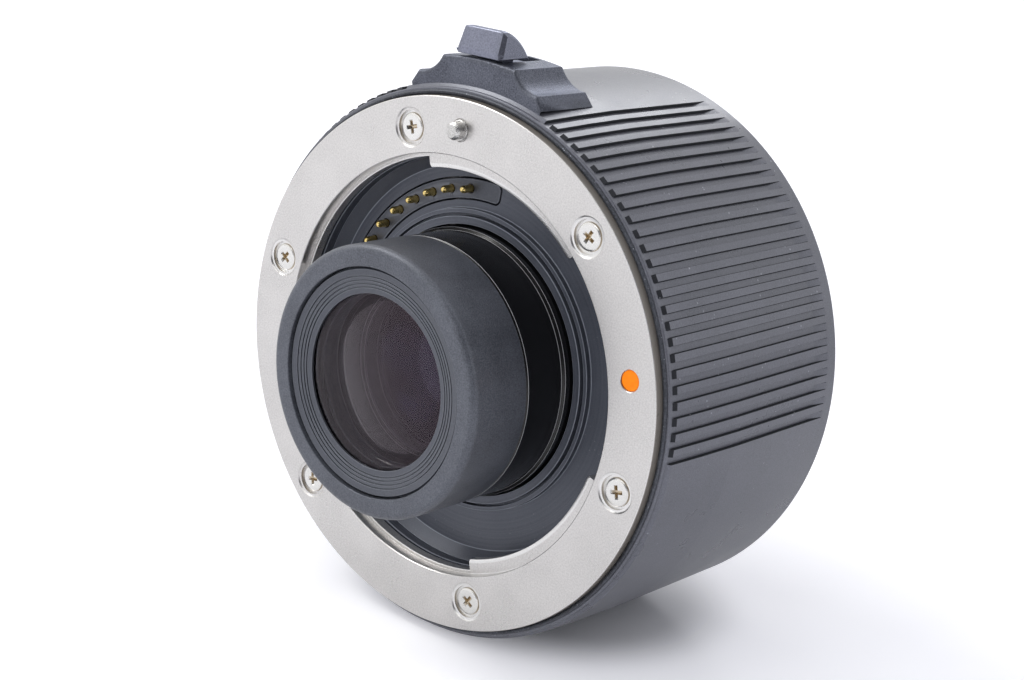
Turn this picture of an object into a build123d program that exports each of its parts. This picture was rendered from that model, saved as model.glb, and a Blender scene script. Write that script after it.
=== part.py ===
from build123d import *
import os
from math import asin, cos, degrees, radians, sin

# Camera teleconverter, lying on its barrel. The optical axis is the Y axis: the lens seat is the
# plane y = 0, the lens side looks along -Y and the camera side along +Y. +Z points through the
# release lever. A clock angle is measured about the axis from the top towards +X, in degrees,
# and a length is in millimetres.
os.makedirs("parts", exist_ok=True)

# General clearances and small edges
overrun = 1.0
top_sketch_angle = 90.0
bore_clearance = 0.05
running_clearance = 0.05
slide_clearance = 0.25
assembly_gap = 0.1
edge_break = 0.2

# Register: where the two mounts lie
rear_stand_out = 1.0
lug_pitch_angle = 120.0
lug_centre_angle = 15.2
lug_count = 3

# Barrel
barrel_radius = 40.0
barrel_wall_share = 0.055
barrel_front = 1.4
barrel_length = 39.2
barrel_front_chamfer = 0.45
barrel_rear_chamfer = 0.9
groove_count = 25
groove_pitch_angle = 3.0
groove_first_angle = 20.4
groove_width = 1.05
groove_depth = 0.4
groove_rear_margin = 2.9
groove_runout = 1.6

# Lens mount ring, the female bayonet
ring_inset = 2.3
ring_thickness = 2.6
ring_edge_chamfer = 0.15
throat_share = 0.75
throat_land_step = 0.55
throat_lip_chamfer = 0.12
sleeve_wall = 1.0
sleeve_depth = 3.2
lug_recess = 1.7
lug_reach = 1.55
lug_span_angle = 57.5
lug_corner = 0.35
screw_circle_share = 0.8425
lens_screw_first_angle = -16.2
mount_screw_count = 6

# Leaf springs behind the lens lugs
leaf_thickness = 0.2
leaf_inset = 0.3
leaf_width = 1.1
leaf_span_angle = 40.0

# Mount screws
screw_head_radius = 1.8
screw_head_height = 1.2
screw_head_recess = 0.3
screw_counterbore_radius = 2.2
screw_shank_radius = 0.9
screw_length = 3.9
cross_length = 1.9
cross_width = 0.42
cross_depth = 0.55

# Index dots
dot_radius = 1.45
dot_recess = 0.35
dot_sink = 0.12
lens_dot_angle = 77.2
twist_to_lock_angle = 60.0

# Rubber seal round the mount ring
seal_inner_clearance = 0.05
seal_width = 0.6
seal_stand_out = 0.4
seal_lip = 0.2

# Chassis
chassis_wall_share = 0.04375
chassis_front_thickness = 1.8
chassis_rear_thickness = 2.2
chassis_rear_share = 0.6
carrier_ledge_width = 3.0
carrier_ledge_thickness = 1.5

# Carrier plate behind the front baffle
carrier_front = 11.7
carrier_thickness = 2.0
carrier_screw_inset = 1.6
carrier_screw_first_angle = 60.0
carrier_screw_count = 3
post_radius = 2.0
post_circle_share = 0.7125
post_first_angle = 30.0
post_length = 6.3

# Front baffle
baffle_floor = 6.9
baffle_floor_thickness = 1.2
baffle_wall_front = 3.6
baffle_wall_step = 0.3
baffle_rim_width = 0.9
baffle_cone_front = 5.2
baffle_cone_run = 1.5
baffle_hole_clearance = 0.7
baffle_skirt = 1.4
ridge_inner_front = 5.7
ridge_inner_width = 1.15
ridge_gap = 0.45
ridge_outer_front = 5.95
ridge_outer_width = 0.6

# Contacts
contact_count = 10
contact_pitch_angle = 8.49
contact_first_angle = -7.6
contact_circle_share = 0.61375
block_width = 2.8
block_end_angle = 12.8
block_corner = 0.8
block_stand_out = 0.1
block_slot_gap = 0.25
contact_pin_radius = 0.55
contact_tip = 4.85
contact_travel = 1.2
contact_guide_length = 1.1
contact_collar_radius = 0.8
contact_collar_length = 0.6
contact_spring_wire = 0.2
flex_thickness = 0.2
flex_tail_angle = 9.0
flex_tail_step = 0.5

# Optical barrel
hood_share = 0.47375
hood_front = -13.8
hood_rear = -3.1
hood_round = 1.5
hood_rear_chamfer = 0.2
hood_rim_width = 3.2
retainer_width = 3.55
retainer_depth = 1.4
retainer_slope = 1.05
retainer_groove_count = 4
retainer_groove_width = 0.22
retainer_groove_depth = 0.25
retainer_fit = 0.1
front_cell_wall = 5.6
front_cell_length = 4.2
front_stop_width = 1.35
front_stop_thickness = 1.4
nose_inset = 2.2
tube_inset = 0.05
tube_front_chamfer = 0.25
tube_step = 4.1
tube_step_height = 0.4
tube_tail_inset = 1.5
tube_tail_length = 5.3
nose_wall = 3.25
doublet_stop = 6.0
doublet_stop_thickness = 1.3
doublet_stop_width = 1.1
inner_cell_inset = 0.6
tube_tail_wall = 2.8
clamp_ring_width = 3.1
clamp_ring_thickness = 2.2

# Rear group
rear_tube_step = 2.2
rear_tube_flare_share = 0.5
rear_tube_clearance = 4.4
rear_tube_wall = 1.6
rear_cell_wall = 2.2
rear_cell_depth = 6.2
rear_cell_lip = 1.0
rear_retainer_thickness = 1.5

# Glass: surface curves and edge thicknesses, with a flat round each rim
glass_clearance = 0.05
glass_flat = 1.15
element_1_front_curve = 90.0
element_1_rear_curve = 46.0
doublet_front_curve = 42.0
doublet_joint_curve = 36.0
doublet_rear_curve = 120.0
element_2_edge = 1.2
element_3_edge = 3.2
element_4_curve = 60.0
element_4_edge = 4.2
element_5_front_curve = 60.0
element_5_rear_curve = 110.0
element_5_edge = 2.1

# Main board
board_thickness = 1.2
board_inner_clearance = 2.8
board_outer_clearance = 1.2
board_screw_head_radius = 1.3
board_screw_head_height = 0.8
board_screw_shank_radius = 0.7
board_screw_length = 4.0
chip_side = 6.0
chip_height = 1.3
chip_circle_share = 0.715

# Camera mount ring, the male bayonet
camera_ring_margin = 0.1
camera_ring_thickness = 2.6
male_tube_wall = 1.6
male_tube_clearance = 0.15
male_tube_length = 5.7
male_lug_reach = 1.5
male_lug_front = 3.5
male_lug_thickness = 1.5
male_lug_span_angle = 54.0
lock_hole_depth = 2.2

# Rear baffle and rear contacts
rear_baffle_clearance = 0.35
rear_baffle_wall = 1.0
rear_baffle_rim_thickness = 1.0
rear_baffle_depth = 4.6
aperture_width_share = 0.8
aperture_height_share = 0.625
aperture_corner = 3.0
rear_block_width = 2.6
pad_depth = 5.5
pad_radius = 0.85
pad_thickness = 0.15

# Release lever, its stem, dust plate, lock pin and spring
release_travel = 2.1
lock_pin_radius = 1.4
lock_pin_shank_radius = 1.6
lock_pin_stand_out = 1.9
lock_pin_step = 0.1
lock_pin_bevel = 0.4
stem_half_width = 2.2
stem_thickness = 2.3
stem_foot = 1.8
lever_screw_head_radius = 1.15
lever_screw_head_height = 0.8
lever_screw_shank_radius = 0.7
lever_screw_bite = 2.6
lever_underside_gap = 0.25
lever_overhang = 2.2
lever_length = 5.9
lever_lip = 0.9
lever_height = 4.0
lever_lean = 0.9
lever_crest = 1.0
lever_back_bulge_share = 0.2
lever_half_width = 3.85
lever_top_half_width = 3.35
lever_bevel = 0.55
lever_round = 0.3
dust_plate_half_width = 2.85
dust_plate_thickness = 0.5
dust_plate_front_margin = 0.8
dust_plate_rear_margin = 0.15
lock_spring_radius = 1.65
lock_spring_wire = 0.3
spigot_radius = 1.2
spigot_length = 1.5

# Release housing
housing_length = 11.5
housing_front_lean = 0.6
housing_rear_lean = 0.9
housing_height = 3.4
housing_top_half_width = 6.265
housing_scoop_height = 1.7
housing_scoop_half_width = 8.1
housing_ridge_height = 1.55
housing_ridge_half_width = 10.754
housing_skirt_half_width = 11.628
housing_round = 0.4
housing_pocket_depth = 0.9
housing_screw_angle = 7.0
housing_screw_y = 9.6
housing_screw_head_radius = 1.1
housing_screw_head_height = 0.75
housing_screw_shank_radius = 0.7
housing_screw_bite = 2.0

# Sizes that follow from the ones above
barrel_rear = barrel_front + barrel_length
flange_to_flange = barrel_rear + rear_stand_out
barrel_bore = barrel_radius * (1 - barrel_wall_share)
chassis_radius = barrel_bore - bore_clearance
chassis_bore = chassis_radius - barrel_radius * chassis_wall_share
ring_radius = barrel_radius - ring_inset
throat_radius = barrel_radius * throat_share
throat_land_radius = throat_radius - throat_land_step
sleeve_radius = throat_radius + sleeve_wall
lug_inner_radius = throat_land_radius - lug_reach
screw_circle_radius = barrel_radius * screw_circle_share
leaf_inner_radius = lug_inner_radius + leaf_inset
leaf_outer_radius = leaf_inner_radius + leaf_width
seal_inner = ring_radius + seal_inner_clearance
seal_outer = seal_inner + seal_width
seal_pocket = seal_outer + bore_clearance
chassis_front = ring_thickness
chassis_plate_rear = chassis_front + chassis_front_thickness
camera_ring_seat = flange_to_flange - camera_ring_thickness
chassis_rear_front = camera_ring_seat - chassis_rear_thickness
chassis_rear_bore = barrel_radius * chassis_rear_share
carrier_rear = carrier_front + carrier_thickness
carrier_radius = chassis_bore - bore_clearance
carrier_screw_radius = chassis_bore - carrier_screw_inset
post_circle_radius = barrel_radius * post_circle_share
post_end = carrier_rear + post_length
contact_radius = barrel_radius * contact_circle_share
block_front = baffle_floor - block_stand_out
block_rear = carrier_front - flex_thickness
hood_radius = barrel_radius * hood_share
retainer_radius = hood_radius - hood_rim_width
retainer_bore = retainer_radius - retainer_width
front_cell_radius = hood_radius - front_cell_wall
front_stop_radius = front_cell_radius - front_stop_width
nose_radius = hood_radius - nose_inset
tube_radius = hood_radius - tube_inset
tube_tail_radius = tube_radius - tube_tail_inset
doublet_radius = nose_radius - nose_wall
doublet_stop_radius = doublet_radius - doublet_stop_width
inner_cell_radius = doublet_radius - inner_cell_inset
thread_radius = tube_tail_radius - tube_tail_wall
clamp_ring_radius = tube_tail_radius + clamp_ring_width
tube_shoulder = carrier_front
tube_end = tube_shoulder + tube_tail_length
rear_tube_radius = tube_tail_radius + rear_tube_step
rear_tube_end = flange_to_flange - rear_tube_clearance
rear_cell_radius = rear_tube_radius - rear_cell_wall
rear_cell_seat = rear_tube_end - rear_cell_depth
rear_tube_flare = tube_end + (rear_cell_seat - tube_end) * rear_tube_flare_share
baffle_wall_radius = throat_radius + baffle_wall_step
baffle_wall_bore = baffle_wall_radius - baffle_rim_width
baffle_cone_radius = baffle_wall_bore - baffle_cone_run
baffle_hole_radius = tube_radius + baffle_hole_clearance
board_inner_radius = rear_tube_radius + board_inner_clearance
board_outer_radius = chassis_bore - board_outer_clearance
chip_circle_radius = barrel_radius * chip_circle_share
camera_ring_radius = screw_circle_radius + screw_counterbore_radius + camera_ring_margin
camera_tube_end = flange_to_flange + male_tube_length
rear_baffle_rim = contact_radius + rear_block_width / 2
rear_baffle_radius = contact_radius - rear_block_width / 2 - rear_baffle_clearance
male_tube_bore = rear_baffle_rim + male_tube_clearance
male_tube_radius = male_tube_bore + male_tube_wall
male_lug_radius = male_tube_radius + male_lug_reach
aperture_width = barrel_radius * aperture_width_share
aperture_height = barrel_radius * aperture_height_share
housing_top = barrel_radius + housing_height
housing_scoop_radius = barrel_radius + housing_scoop_height
housing_ridge_radius = barrel_radius + housing_ridge_height
housing_top_half_angle = degrees(asin(housing_top_half_width / housing_top))
housing_scoop_angle = degrees(asin(housing_scoop_half_width / housing_scoop_radius))
housing_ridge_angle = degrees(asin(housing_ridge_half_width / housing_ridge_radius))
housing_skirt_angle = degrees(asin(housing_skirt_half_width / barrel_radius))
pad_seat = flange_to_flange + pad_depth
stem_front = chassis_plate_rear
stem_rear = stem_front + stem_thickness
stem_low = screw_circle_radius - stem_foot
stem_slot_half_width = stem_half_width + slide_clearance
stem_slot_front = stem_front - slide_clearance
stem_slot_rear = stem_rear + release_travel + slide_clearance
stem_slot_low = screw_circle_radius + lock_pin_shank_radius
pocket_floor = housing_top - housing_pocket_depth
pocket_half_width = dust_plate_half_width + slide_clearance
dust_plate_front = stem_front - dust_plate_front_margin
dust_plate_rear = stem_slot_rear + dust_plate_rear_margin
lever_underside = housing_top + lever_underside_gap
lever_front = lever_overhang
contact_angles = [contact_first_angle - i * contact_pitch_angle for i in range(contact_count)]
contact_span_angle = (contact_count - 1) * contact_pitch_angle
lens_screw_angles = [lens_screw_first_angle + i * 360 / mount_screw_count for i in range(mount_screw_count)]
camera_screw_angles = [(i + 0.5) * 360 / mount_screw_count for i in range(mount_screw_count)]
lug_angles = [lug_centre_angle + i * lug_pitch_angle for i in range(lug_count)]
groove_side = [groove_first_angle + i * groove_pitch_angle for i in range(groove_count)]
groove_angles = groove_side + [-angle for angle in groove_side]


def at_clock(radius, angle):
    """Point on a circle about the axis, as X and Z, at a clock angle."""
    return radius * sin(radians(angle)), radius * cos(radians(angle))


def facing(y):
    """Plane across the axis at y, whose sketch axes are X and Z and whose normal is -Y."""
    return Plane.XZ.offset(-y)


def turned(*points, mode=Mode.ADD):
    """Turn a closed outline of (y, radius) points about the optical axis."""
    with BuildSketch(Plane.YZ) as outline:
        with BuildLine():
            Polyline(*points, close=True)
        make_face()
    revolve(outline.sketch, axis=Axis.Y, mode=mode)


def tube_between(y_front, y_rear, outer, inner, mode=Mode.ADD):
    """Ring about the axis between two places on it."""
    turned((y_front, inner), (y_front, outer), (y_rear, outer), (y_rear, inner), mode=mode)


def sector(y_front, y_rear, inner, outer, centre, span, mode=Mode.ADD):
    """Part of a ring, from y_front to y_rear, that spans an angle about a clock angle."""
    with BuildSketch(facing(y_front)) as outline:
        with BuildLine():
            start = top_sketch_angle - centre - span / 2
            outer_arc = CenterArc((0, 0), outer, start, span)
            inner_arc = CenterArc((0, 0), inner, start, span)
            Line(outer_arc @ 0, inner_arc @ 0)
            Line(outer_arc @ 1, inner_arc @ 1)
        make_face()
    extrude(outline.sketch, amount=y_front - y_rear, mode=mode)


def arc_bar(y_front, y_rear, radius, width, first, last, corner, mode=Mode.ADD):
    """Bar with rounded corners that follows a circle about the axis between two clock angles."""
    with BuildSketch(facing(y_front)) as outline:
        with BuildLine():
            outer_arc = CenterArc((0, 0), radius + width / 2, top_sketch_angle - first, first - last)
            inner_arc = CenterArc((0, 0), radius - width / 2, top_sketch_angle - first, first - last)
            Line(outer_arc @ 0, inner_arc @ 0)
            Line(outer_arc @ 1, inner_arc @ 1)
        make_face()
        fillet(outline.vertices(), radius=corner)
    extrude(outline.sketch, amount=y_front - y_rear, mode=mode)


def rods(y_front, y_rear, rod_radius, circle_radius, angles, mode=Mode.ADD):
    """Round rods along the axis, one at each clock angle of a circle."""
    with BuildSketch(facing(y_front)) as outline:
        with Locations(*[at_clock(circle_radius, angle) for angle in angles]):
            Circle(rod_radius)
    extrude(outline.sketch, amount=y_front - y_rear, mode=mode)


def top_block(half_width, y_front, y_rear, z_low, z_high, mode=Mode.ADD):
    """Upright block at the top of the part, centred on X."""
    with BuildSketch(Plane.XY.offset(z_low)) as outline:
        with Locations((0, (y_front + y_rear) / 2)):
            Rectangle(2 * half_width, y_rear - y_front)
    extrude(outline.sketch, amount=z_high - z_low, mode=mode)


def off_axis(point):
    """Distance of a point from the optical axis."""
    return (point.X * point.X + point.Z * point.Z) ** 0.5


def radial_rods(y, rod_radius, r_low, r_high, angles, mode=Mode.ADD):
    """Round rods that point away from the axis, one at each clock angle."""
    with BuildSketch(Plane.XY.offset(r_low)) as outline:
        with Locations((0, y)):
            Circle(rod_radius)
    rod = extrude(outline.sketch, amount=r_high - r_low, mode=Mode.PRIVATE)
    add([rod.rotate(Axis.Y, angle) for angle in angles], mode=mode)


def lens_solid(front_rim, rear_rim, front_curve, rear_curve, radius):
    """Glass element with a flat on each rim; a positive curve bulges towards the lens side."""
    clear_radius = radius - glass_flat
    front_vertex = front_rim - sagitta(front_curve, clear_radius)
    rear_vertex = rear_rim - sagitta(rear_curve, clear_radius)
    front_mid = front_vertex + sagitta(front_curve, clear_radius / 2)
    rear_mid = rear_vertex + sagitta(rear_curve, clear_radius / 2)
    with BuildSketch(Plane.YZ) as outline:
        with BuildLine():
            ThreePointArc((front_vertex, 0), (front_mid, clear_radius / 2), (front_rim, clear_radius))
            Polyline((front_rim, clear_radius), (front_rim, radius), (rear_rim, radius),
                     (rear_rim, clear_radius))
            ThreePointArc((rear_rim, clear_radius), (rear_mid, clear_radius / 2), (rear_vertex, 0))
            Line((rear_vertex, 0), (front_vertex, 0))
        make_face()
    revolve(outline.sketch, axis=Axis.Y)


def sagitta(curve, radius):
    """How far a surface of a given curve falls back at a radius from the axis."""
    fall = abs(curve) - (curve * curve - radius * radius) ** 0.5
    return fall if curve > 0 else -fall


def cross_recess(y_face, depth, angles, direction):
    """Cross-shaped driver recesses on the screw circle; direction is +1 for a face that looks to -Y."""
    with BuildSketch(facing(y_face - direction * overrun)) as outline:
        for angle in angles:
            with Locations(at_clock(screw_circle_radius, angle)):
                Rectangle(cross_length, cross_width, rotation=angle)
                Rectangle(cross_width, cross_length, rotation=angle)
    extrude(outline.sketch, amount=-direction * (overrun + depth), mode=Mode.SUBTRACT)


# Outer barrel: turned shell with grip grooves that open through the front chamfer
with BuildPart() as outer_barrel:
    turned(
        (barrel_front, seal_pocket),
        (barrel_front, barrel_radius - barrel_front_chamfer),
        (barrel_front + barrel_front_chamfer, barrel_radius),
        (barrel_rear - barrel_rear_chamfer, barrel_radius),
        (barrel_rear, barrel_radius - barrel_rear_chamfer),
        (barrel_rear, barrel_bore),
        (chassis_front, barrel_bore),
        (chassis_front, seal_pocket),
    )
    with BuildSketch(Plane.YZ) as groove_profile:
        groove_floor = barrel_radius - groove_depth
        groove_end = barrel_rear - groove_rear_margin
        with BuildLine():
            Polyline(
                (barrel_front - overrun, groove_floor),
                (groove_end - groove_runout, groove_floor),
                (groove_end, barrel_radius),
                (groove_end, barrel_radius + overrun),
                (barrel_front - overrun, barrel_radius + overrun),
                close=True,
            )
        make_face()
    groove = extrude(groove_profile.sketch, amount=groove_width / 2, both=True, mode=Mode.PRIVATE)
    add([groove.rotate(Axis.Y, angle) for angle in groove_angles], mode=Mode.SUBTRACT)
    top_block(stem_slot_half_width, stem_slot_front, stem_slot_rear, stem_slot_low,
              barrel_radius + overrun, mode=Mode.SUBTRACT)
    radial_rods(housing_screw_y, housing_screw_shank_radius, stem_slot_low, barrel_radius + overrun,
                [-housing_screw_angle, housing_screw_angle], mode=Mode.SUBTRACT)
outer_barrel.part.label = "outer_barrel"
export_step(outer_barrel.part, "parts/outer_barrel.step")

# Rubber seal: stands a little proud of the barrel's front face, with a chamfered lip
with BuildPart() as front_seal_ring:
    seal_front = barrel_front - seal_stand_out
    turned(
        (seal_front, seal_inner),
        (seal_front, seal_outer - seal_lip),
        (seal_front + seal_lip, seal_outer),
        (chassis_front, seal_outer),
        (chassis_front, seal_inner),
    )
front_seal_ring.part.label = "front_seal_ring"
export_step(front_seal_ring.part, "parts/front_seal_ring.step")

# Lens mount ring: flat flange, throat that narrows to a land, and three recessed lugs
with BuildPart() as lens_mount_ring:
    turned(
        (0, throat_radius + throat_lip_chamfer),
        (0, ring_radius - ring_edge_chamfer),
        (ring_edge_chamfer, ring_radius),
        (ring_thickness, ring_radius),
        (ring_thickness, sleeve_radius),
        (sleeve_depth, sleeve_radius),
        (sleeve_depth, throat_land_radius),
        (lug_recess, throat_land_radius),
        (lug_recess, throat_radius),
        (throat_lip_chamfer, throat_radius),
    )
    for lug_angle in lug_angles:
        sector(lug_recess, sleeve_depth, lug_inner_radius, throat_land_radius, lug_angle, lug_span_angle)
    lug_tips = lens_mount_ring.edges().filter_by(Axis.Y).filter_by(
        lambda edge: abs(off_axis(edge.center()) - lug_inner_radius) < bore_clearance)
    fillet(lug_tips, radius=lug_corner)
    rods(-overrun, screw_head_recess + screw_head_height, screw_counterbore_radius,
         screw_circle_radius, lens_screw_angles, mode=Mode.SUBTRACT)
    rods(0, ring_thickness, screw_shank_radius, screw_circle_radius, lens_screw_angles,
         mode=Mode.SUBTRACT)
    rods(-overrun, dot_recess, dot_radius, screw_circle_radius, [lens_dot_angle], mode=Mode.SUBTRACT)
    rods(-overrun, ring_thickness, lock_pin_shank_radius + running_clearance, screw_circle_radius, [0],
         mode=Mode.SUBTRACT)
lens_mount_ring.part.label = "lens_mount_ring"
export_step(lens_mount_ring.part, "parts/lens_mount_ring.step")

# Leaf springs: thin arcs that lie flat on the back of each lug
with BuildPart() as mount_leaf_springs:
    for lug_angle in lug_angles:
        sector(sleeve_depth, sleeve_depth + leaf_thickness, leaf_inner_radius, leaf_outer_radius,
               lug_angle, leaf_span_angle)
mount_leaf_springs.part.label = "mount_leaf_springs"
export_step(mount_leaf_springs.part, "parts/mount_leaf_springs.step")

# Lens mount screws: flat cross-recess heads in the counterbores
with BuildPart() as lens_mount_screws:
    screw_top = screw_head_recess
    screw_seat = screw_top + screw_head_height
    rods(screw_top, screw_seat, screw_head_radius, screw_circle_radius, lens_screw_angles)
    rods(screw_seat, screw_seat + screw_length, screw_shank_radius, screw_circle_radius,
         lens_screw_angles)
    cross_recess(screw_top, cross_depth, lens_screw_angles, 1)
lens_mount_screws.part.label = "lens_mount_screws"
export_step(lens_mount_screws.part, "parts/lens_mount_screws.step")

# Index dot: enamel disc in its own recess
with BuildPart() as lens_index_dot:
    rods(dot_sink, dot_recess, dot_radius, screw_circle_radius, [lens_dot_angle])
lens_index_dot.part.label = "lens_index_dot"
export_step(lens_index_dot.part, "parts/lens_index_dot.step")

# Chassis: one turned tube with a front plate, a ledge for the carrier and a rear plate
with BuildPart() as chassis_tube:
    ledge_bore = chassis_bore - carrier_ledge_width
    turned(
        (chassis_front, sleeve_radius + bore_clearance),
        (chassis_front, chassis_radius),
        (barrel_rear, chassis_radius),
        (barrel_rear, camera_ring_radius + bore_clearance),
        (camera_ring_seat, camera_ring_radius + bore_clearance),
        (camera_ring_seat, chassis_rear_bore),
        (chassis_rear_front, chassis_rear_bore),
        (chassis_rear_front, chassis_bore),
        (carrier_rear + carrier_ledge_thickness, chassis_bore),
        (carrier_rear + carrier_ledge_thickness, ledge_bore),
        (carrier_rear, ledge_bore),
        (carrier_rear, chassis_bore),
        (chassis_plate_rear, chassis_bore),
        (chassis_plate_rear, sleeve_radius + bore_clearance),
    )
    rods(chassis_front, chassis_plate_rear, screw_shank_radius, screw_circle_radius,
         lens_screw_angles, mode=Mode.SUBTRACT)
    rods(chassis_front, chassis_plate_rear, lock_pin_shank_radius + running_clearance, screw_circle_radius,
         [0], mode=Mode.SUBTRACT)
    rods(carrier_rear, carrier_rear + carrier_ledge_thickness, board_screw_shank_radius,
         carrier_screw_radius,
         [carrier_screw_first_angle + i * 360 / carrier_screw_count for i in range(carrier_screw_count)],
         mode=Mode.SUBTRACT)
    rods(chassis_rear_front, camera_ring_seat, screw_shank_radius, screw_circle_radius,
         camera_screw_angles, mode=Mode.SUBTRACT)
    top_block(stem_slot_half_width, stem_slot_front, stem_slot_rear, stem_slot_low, barrel_radius,
              mode=Mode.SUBTRACT)
    radial_rods(housing_screw_y, housing_screw_shank_radius, stem_slot_low, barrel_radius,
                [-housing_screw_angle, housing_screw_angle], mode=Mode.SUBTRACT)
chassis_tube.part.label = "chassis_tube"
export_step(chassis_tube.part, "parts/chassis_tube.step")

# Carrier plate: holds the optical barrel, the baffle, the contacts and the board posts
carrier_screw_angles = [carrier_screw_first_angle + i * 360 / carrier_screw_count
                        for i in range(carrier_screw_count)]
post_angles = [post_first_angle + i * 360 / carrier_screw_count for i in range(carrier_screw_count)]
flex_angle = contact_first_angle - contact_span_angle / 2
flex_tail_radius = contact_radius + block_width / 2 + flex_tail_step
with BuildPart() as carrier_plate:
    tube_between(carrier_front, carrier_rear, carrier_radius, tube_tail_radius + bore_clearance)
    rods(carrier_rear, post_end, post_radius, post_circle_radius, post_angles)
    rods(post_end - board_screw_length, post_end, board_screw_shank_radius, post_circle_radius,
         post_angles, mode=Mode.SUBTRACT)
    rods(carrier_front, carrier_rear, board_screw_shank_radius, carrier_screw_radius,
         carrier_screw_angles, mode=Mode.SUBTRACT)
    rods(carrier_front - spigot_length, carrier_front, spigot_radius, screw_circle_radius, [0])
    sector(carrier_front, carrier_rear, flex_tail_radius - assembly_gap,
           flex_tail_radius + flex_thickness + assembly_gap, flex_angle,
           flex_tail_angle + 2 * edge_break, mode=Mode.SUBTRACT)
carrier_plate.part.label = "carrier_plate"
export_step(carrier_plate.part, "parts/carrier_plate.step")

# Carrier screws
with BuildPart() as carrier_screws:
    rods(carrier_front - board_screw_head_height, carrier_front, board_screw_head_radius,
         carrier_screw_radius, carrier_screw_angles)
    rods(carrier_front, carrier_rear + carrier_ledge_thickness, board_screw_shank_radius,
         carrier_screw_radius, carrier_screw_angles)
carrier_screws.part.label = "carrier_screws"
export_step(carrier_screws.part, "parts/carrier_screws.step")

# Front baffle: cup with a coned wall, a flat floor and two light-trap ridges round its hole
block_first = contact_first_angle + block_end_angle
block_last = contact_first_angle - contact_span_angle - block_end_angle
slot_end_angle = degrees(block_slot_gap / contact_radius)
with BuildPart() as front_baffle:
    inner_ridge = baffle_hole_radius + ridge_inner_width
    outer_ridge = inner_ridge + ridge_gap
    floor_rear = baffle_floor + baffle_floor_thickness
    turned(
        (baffle_wall_front, baffle_wall_bore),
        (baffle_wall_front, baffle_wall_radius),
        (carrier_front, baffle_wall_radius),
        (carrier_front, baffle_wall_radius - baffle_skirt),
        (floor_rear, baffle_wall_radius - baffle_skirt),
        (floor_rear, baffle_hole_radius),
        (ridge_inner_front, baffle_hole_radius),
        (ridge_inner_front, inner_ridge),
        (baffle_floor, inner_ridge),
        (baffle_floor, outer_ridge),
        (ridge_outer_front, outer_ridge),
        (ridge_outer_front, outer_ridge + ridge_outer_width),
        (baffle_floor, outer_ridge + ridge_outer_width),
        (baffle_floor, baffle_cone_radius),
        (baffle_cone_front, baffle_wall_bore),
    )
    arc_bar(baffle_floor - overrun, floor_rear, contact_radius, block_width + 2 * block_slot_gap,
            block_first + slot_end_angle, block_last - slot_end_angle, block_corner + block_slot_gap,
            mode=Mode.SUBTRACT)
front_baffle.part.label = "front_baffle"
export_step(front_baffle.part, "parts/front_baffle.step")

# Front contact block: arc moulding with a guide bore and a spring bore for each pin
guide_rear = block_front + contact_guide_length
with BuildPart() as front_contact_block:
    arc_bar(block_front, block_rear, contact_radius, block_width, block_first, block_last,
            block_corner)
    rods(block_front, guide_rear, contact_pin_radius + running_clearance, contact_radius,
         contact_angles, mode=Mode.SUBTRACT)
    rods(guide_rear, block_rear, contact_collar_radius + assembly_gap, contact_radius,
         contact_angles, mode=Mode.SUBTRACT)
front_contact_block.part.label = "front_contact_block"
export_step(front_contact_block.part, "parts/front_contact_block.step")

# Contact flex: thin arc behind the block, with a tail that runs back to the main board
with BuildPart() as contact_flex:
    arc_bar(block_rear, carrier_front, contact_radius, block_width, block_first, block_last,
            block_corner)
    sector(block_rear, carrier_front, contact_radius, flex_tail_radius + flex_thickness, flex_angle,
           flex_tail_angle)
    sector(carrier_front, post_end, flex_tail_radius, flex_tail_radius + flex_thickness, flex_angle,
           flex_tail_angle)
contact_flex.part.label = "contact_flex"
export_step(contact_flex.part, "parts/contact_flex.step")

# Contact pins and their springs, one pair at each contact angle
collar_rear = guide_rear + contact_collar_length
for number, contact_angle in enumerate(contact_angles, start=1):
    with BuildPart() as contact_pin:
        rods(contact_tip, guide_rear, contact_pin_radius, contact_radius, [contact_angle])
        fillet(contact_pin.faces().sort_by(Axis.Y)[0].edges(), radius=contact_pin_radius * 0.85)
        rods(guide_rear, collar_rear, contact_collar_radius, contact_radius, [contact_angle])
    contact_pin.part.label = f"contact_pin_{number:02d}"
    export_step(contact_pin.part, f"parts/contact_pin_{number:02d}.step")
    with BuildPart() as contact_spring:
        rods(collar_rear, block_rear, contact_collar_radius, contact_radius, [contact_angle])
        rods(collar_rear, block_rear, contact_collar_radius - contact_spring_wire, contact_radius,
             [contact_angle], mode=Mode.SUBTRACT)
    contact_spring.part.label = f"contact_spring_{number:02d}"
    export_step(contact_spring.part, f"parts/contact_spring_{number:02d}.step")

# Front hood: the textured front of the optical barrel, rounded at its front edge
front_cell_front = hood_front + retainer_depth
front_cell_rear = front_cell_front + front_cell_length
hood_shelf = front_cell_rear + front_stop_thickness
with BuildPart() as front_hood:
    turned(
        (hood_front, retainer_radius + retainer_fit),
        (hood_front, hood_radius),
        (hood_rear - hood_rear_chamfer, hood_radius),
        (hood_rear, hood_radius - hood_rear_chamfer),
        (hood_rear, nose_radius + bore_clearance),
        (hood_shelf, nose_radius + bore_clearance),
        (hood_shelf, front_stop_radius),
        (front_cell_rear, front_stop_radius),
        (front_cell_rear, front_cell_radius),
        (front_cell_front, front_cell_radius),
        (front_cell_front, retainer_radius + retainer_fit),
    )
    hood_rim = front_hood.edges().group_by(Axis.Y)[0].sort_by(SortBy.LENGTH)[-1]
    fillet(hood_rim, radius=hood_round)
front_hood.part.label = "front_hood"
export_step(front_hood.part, "parts/front_hood.step")

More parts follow.
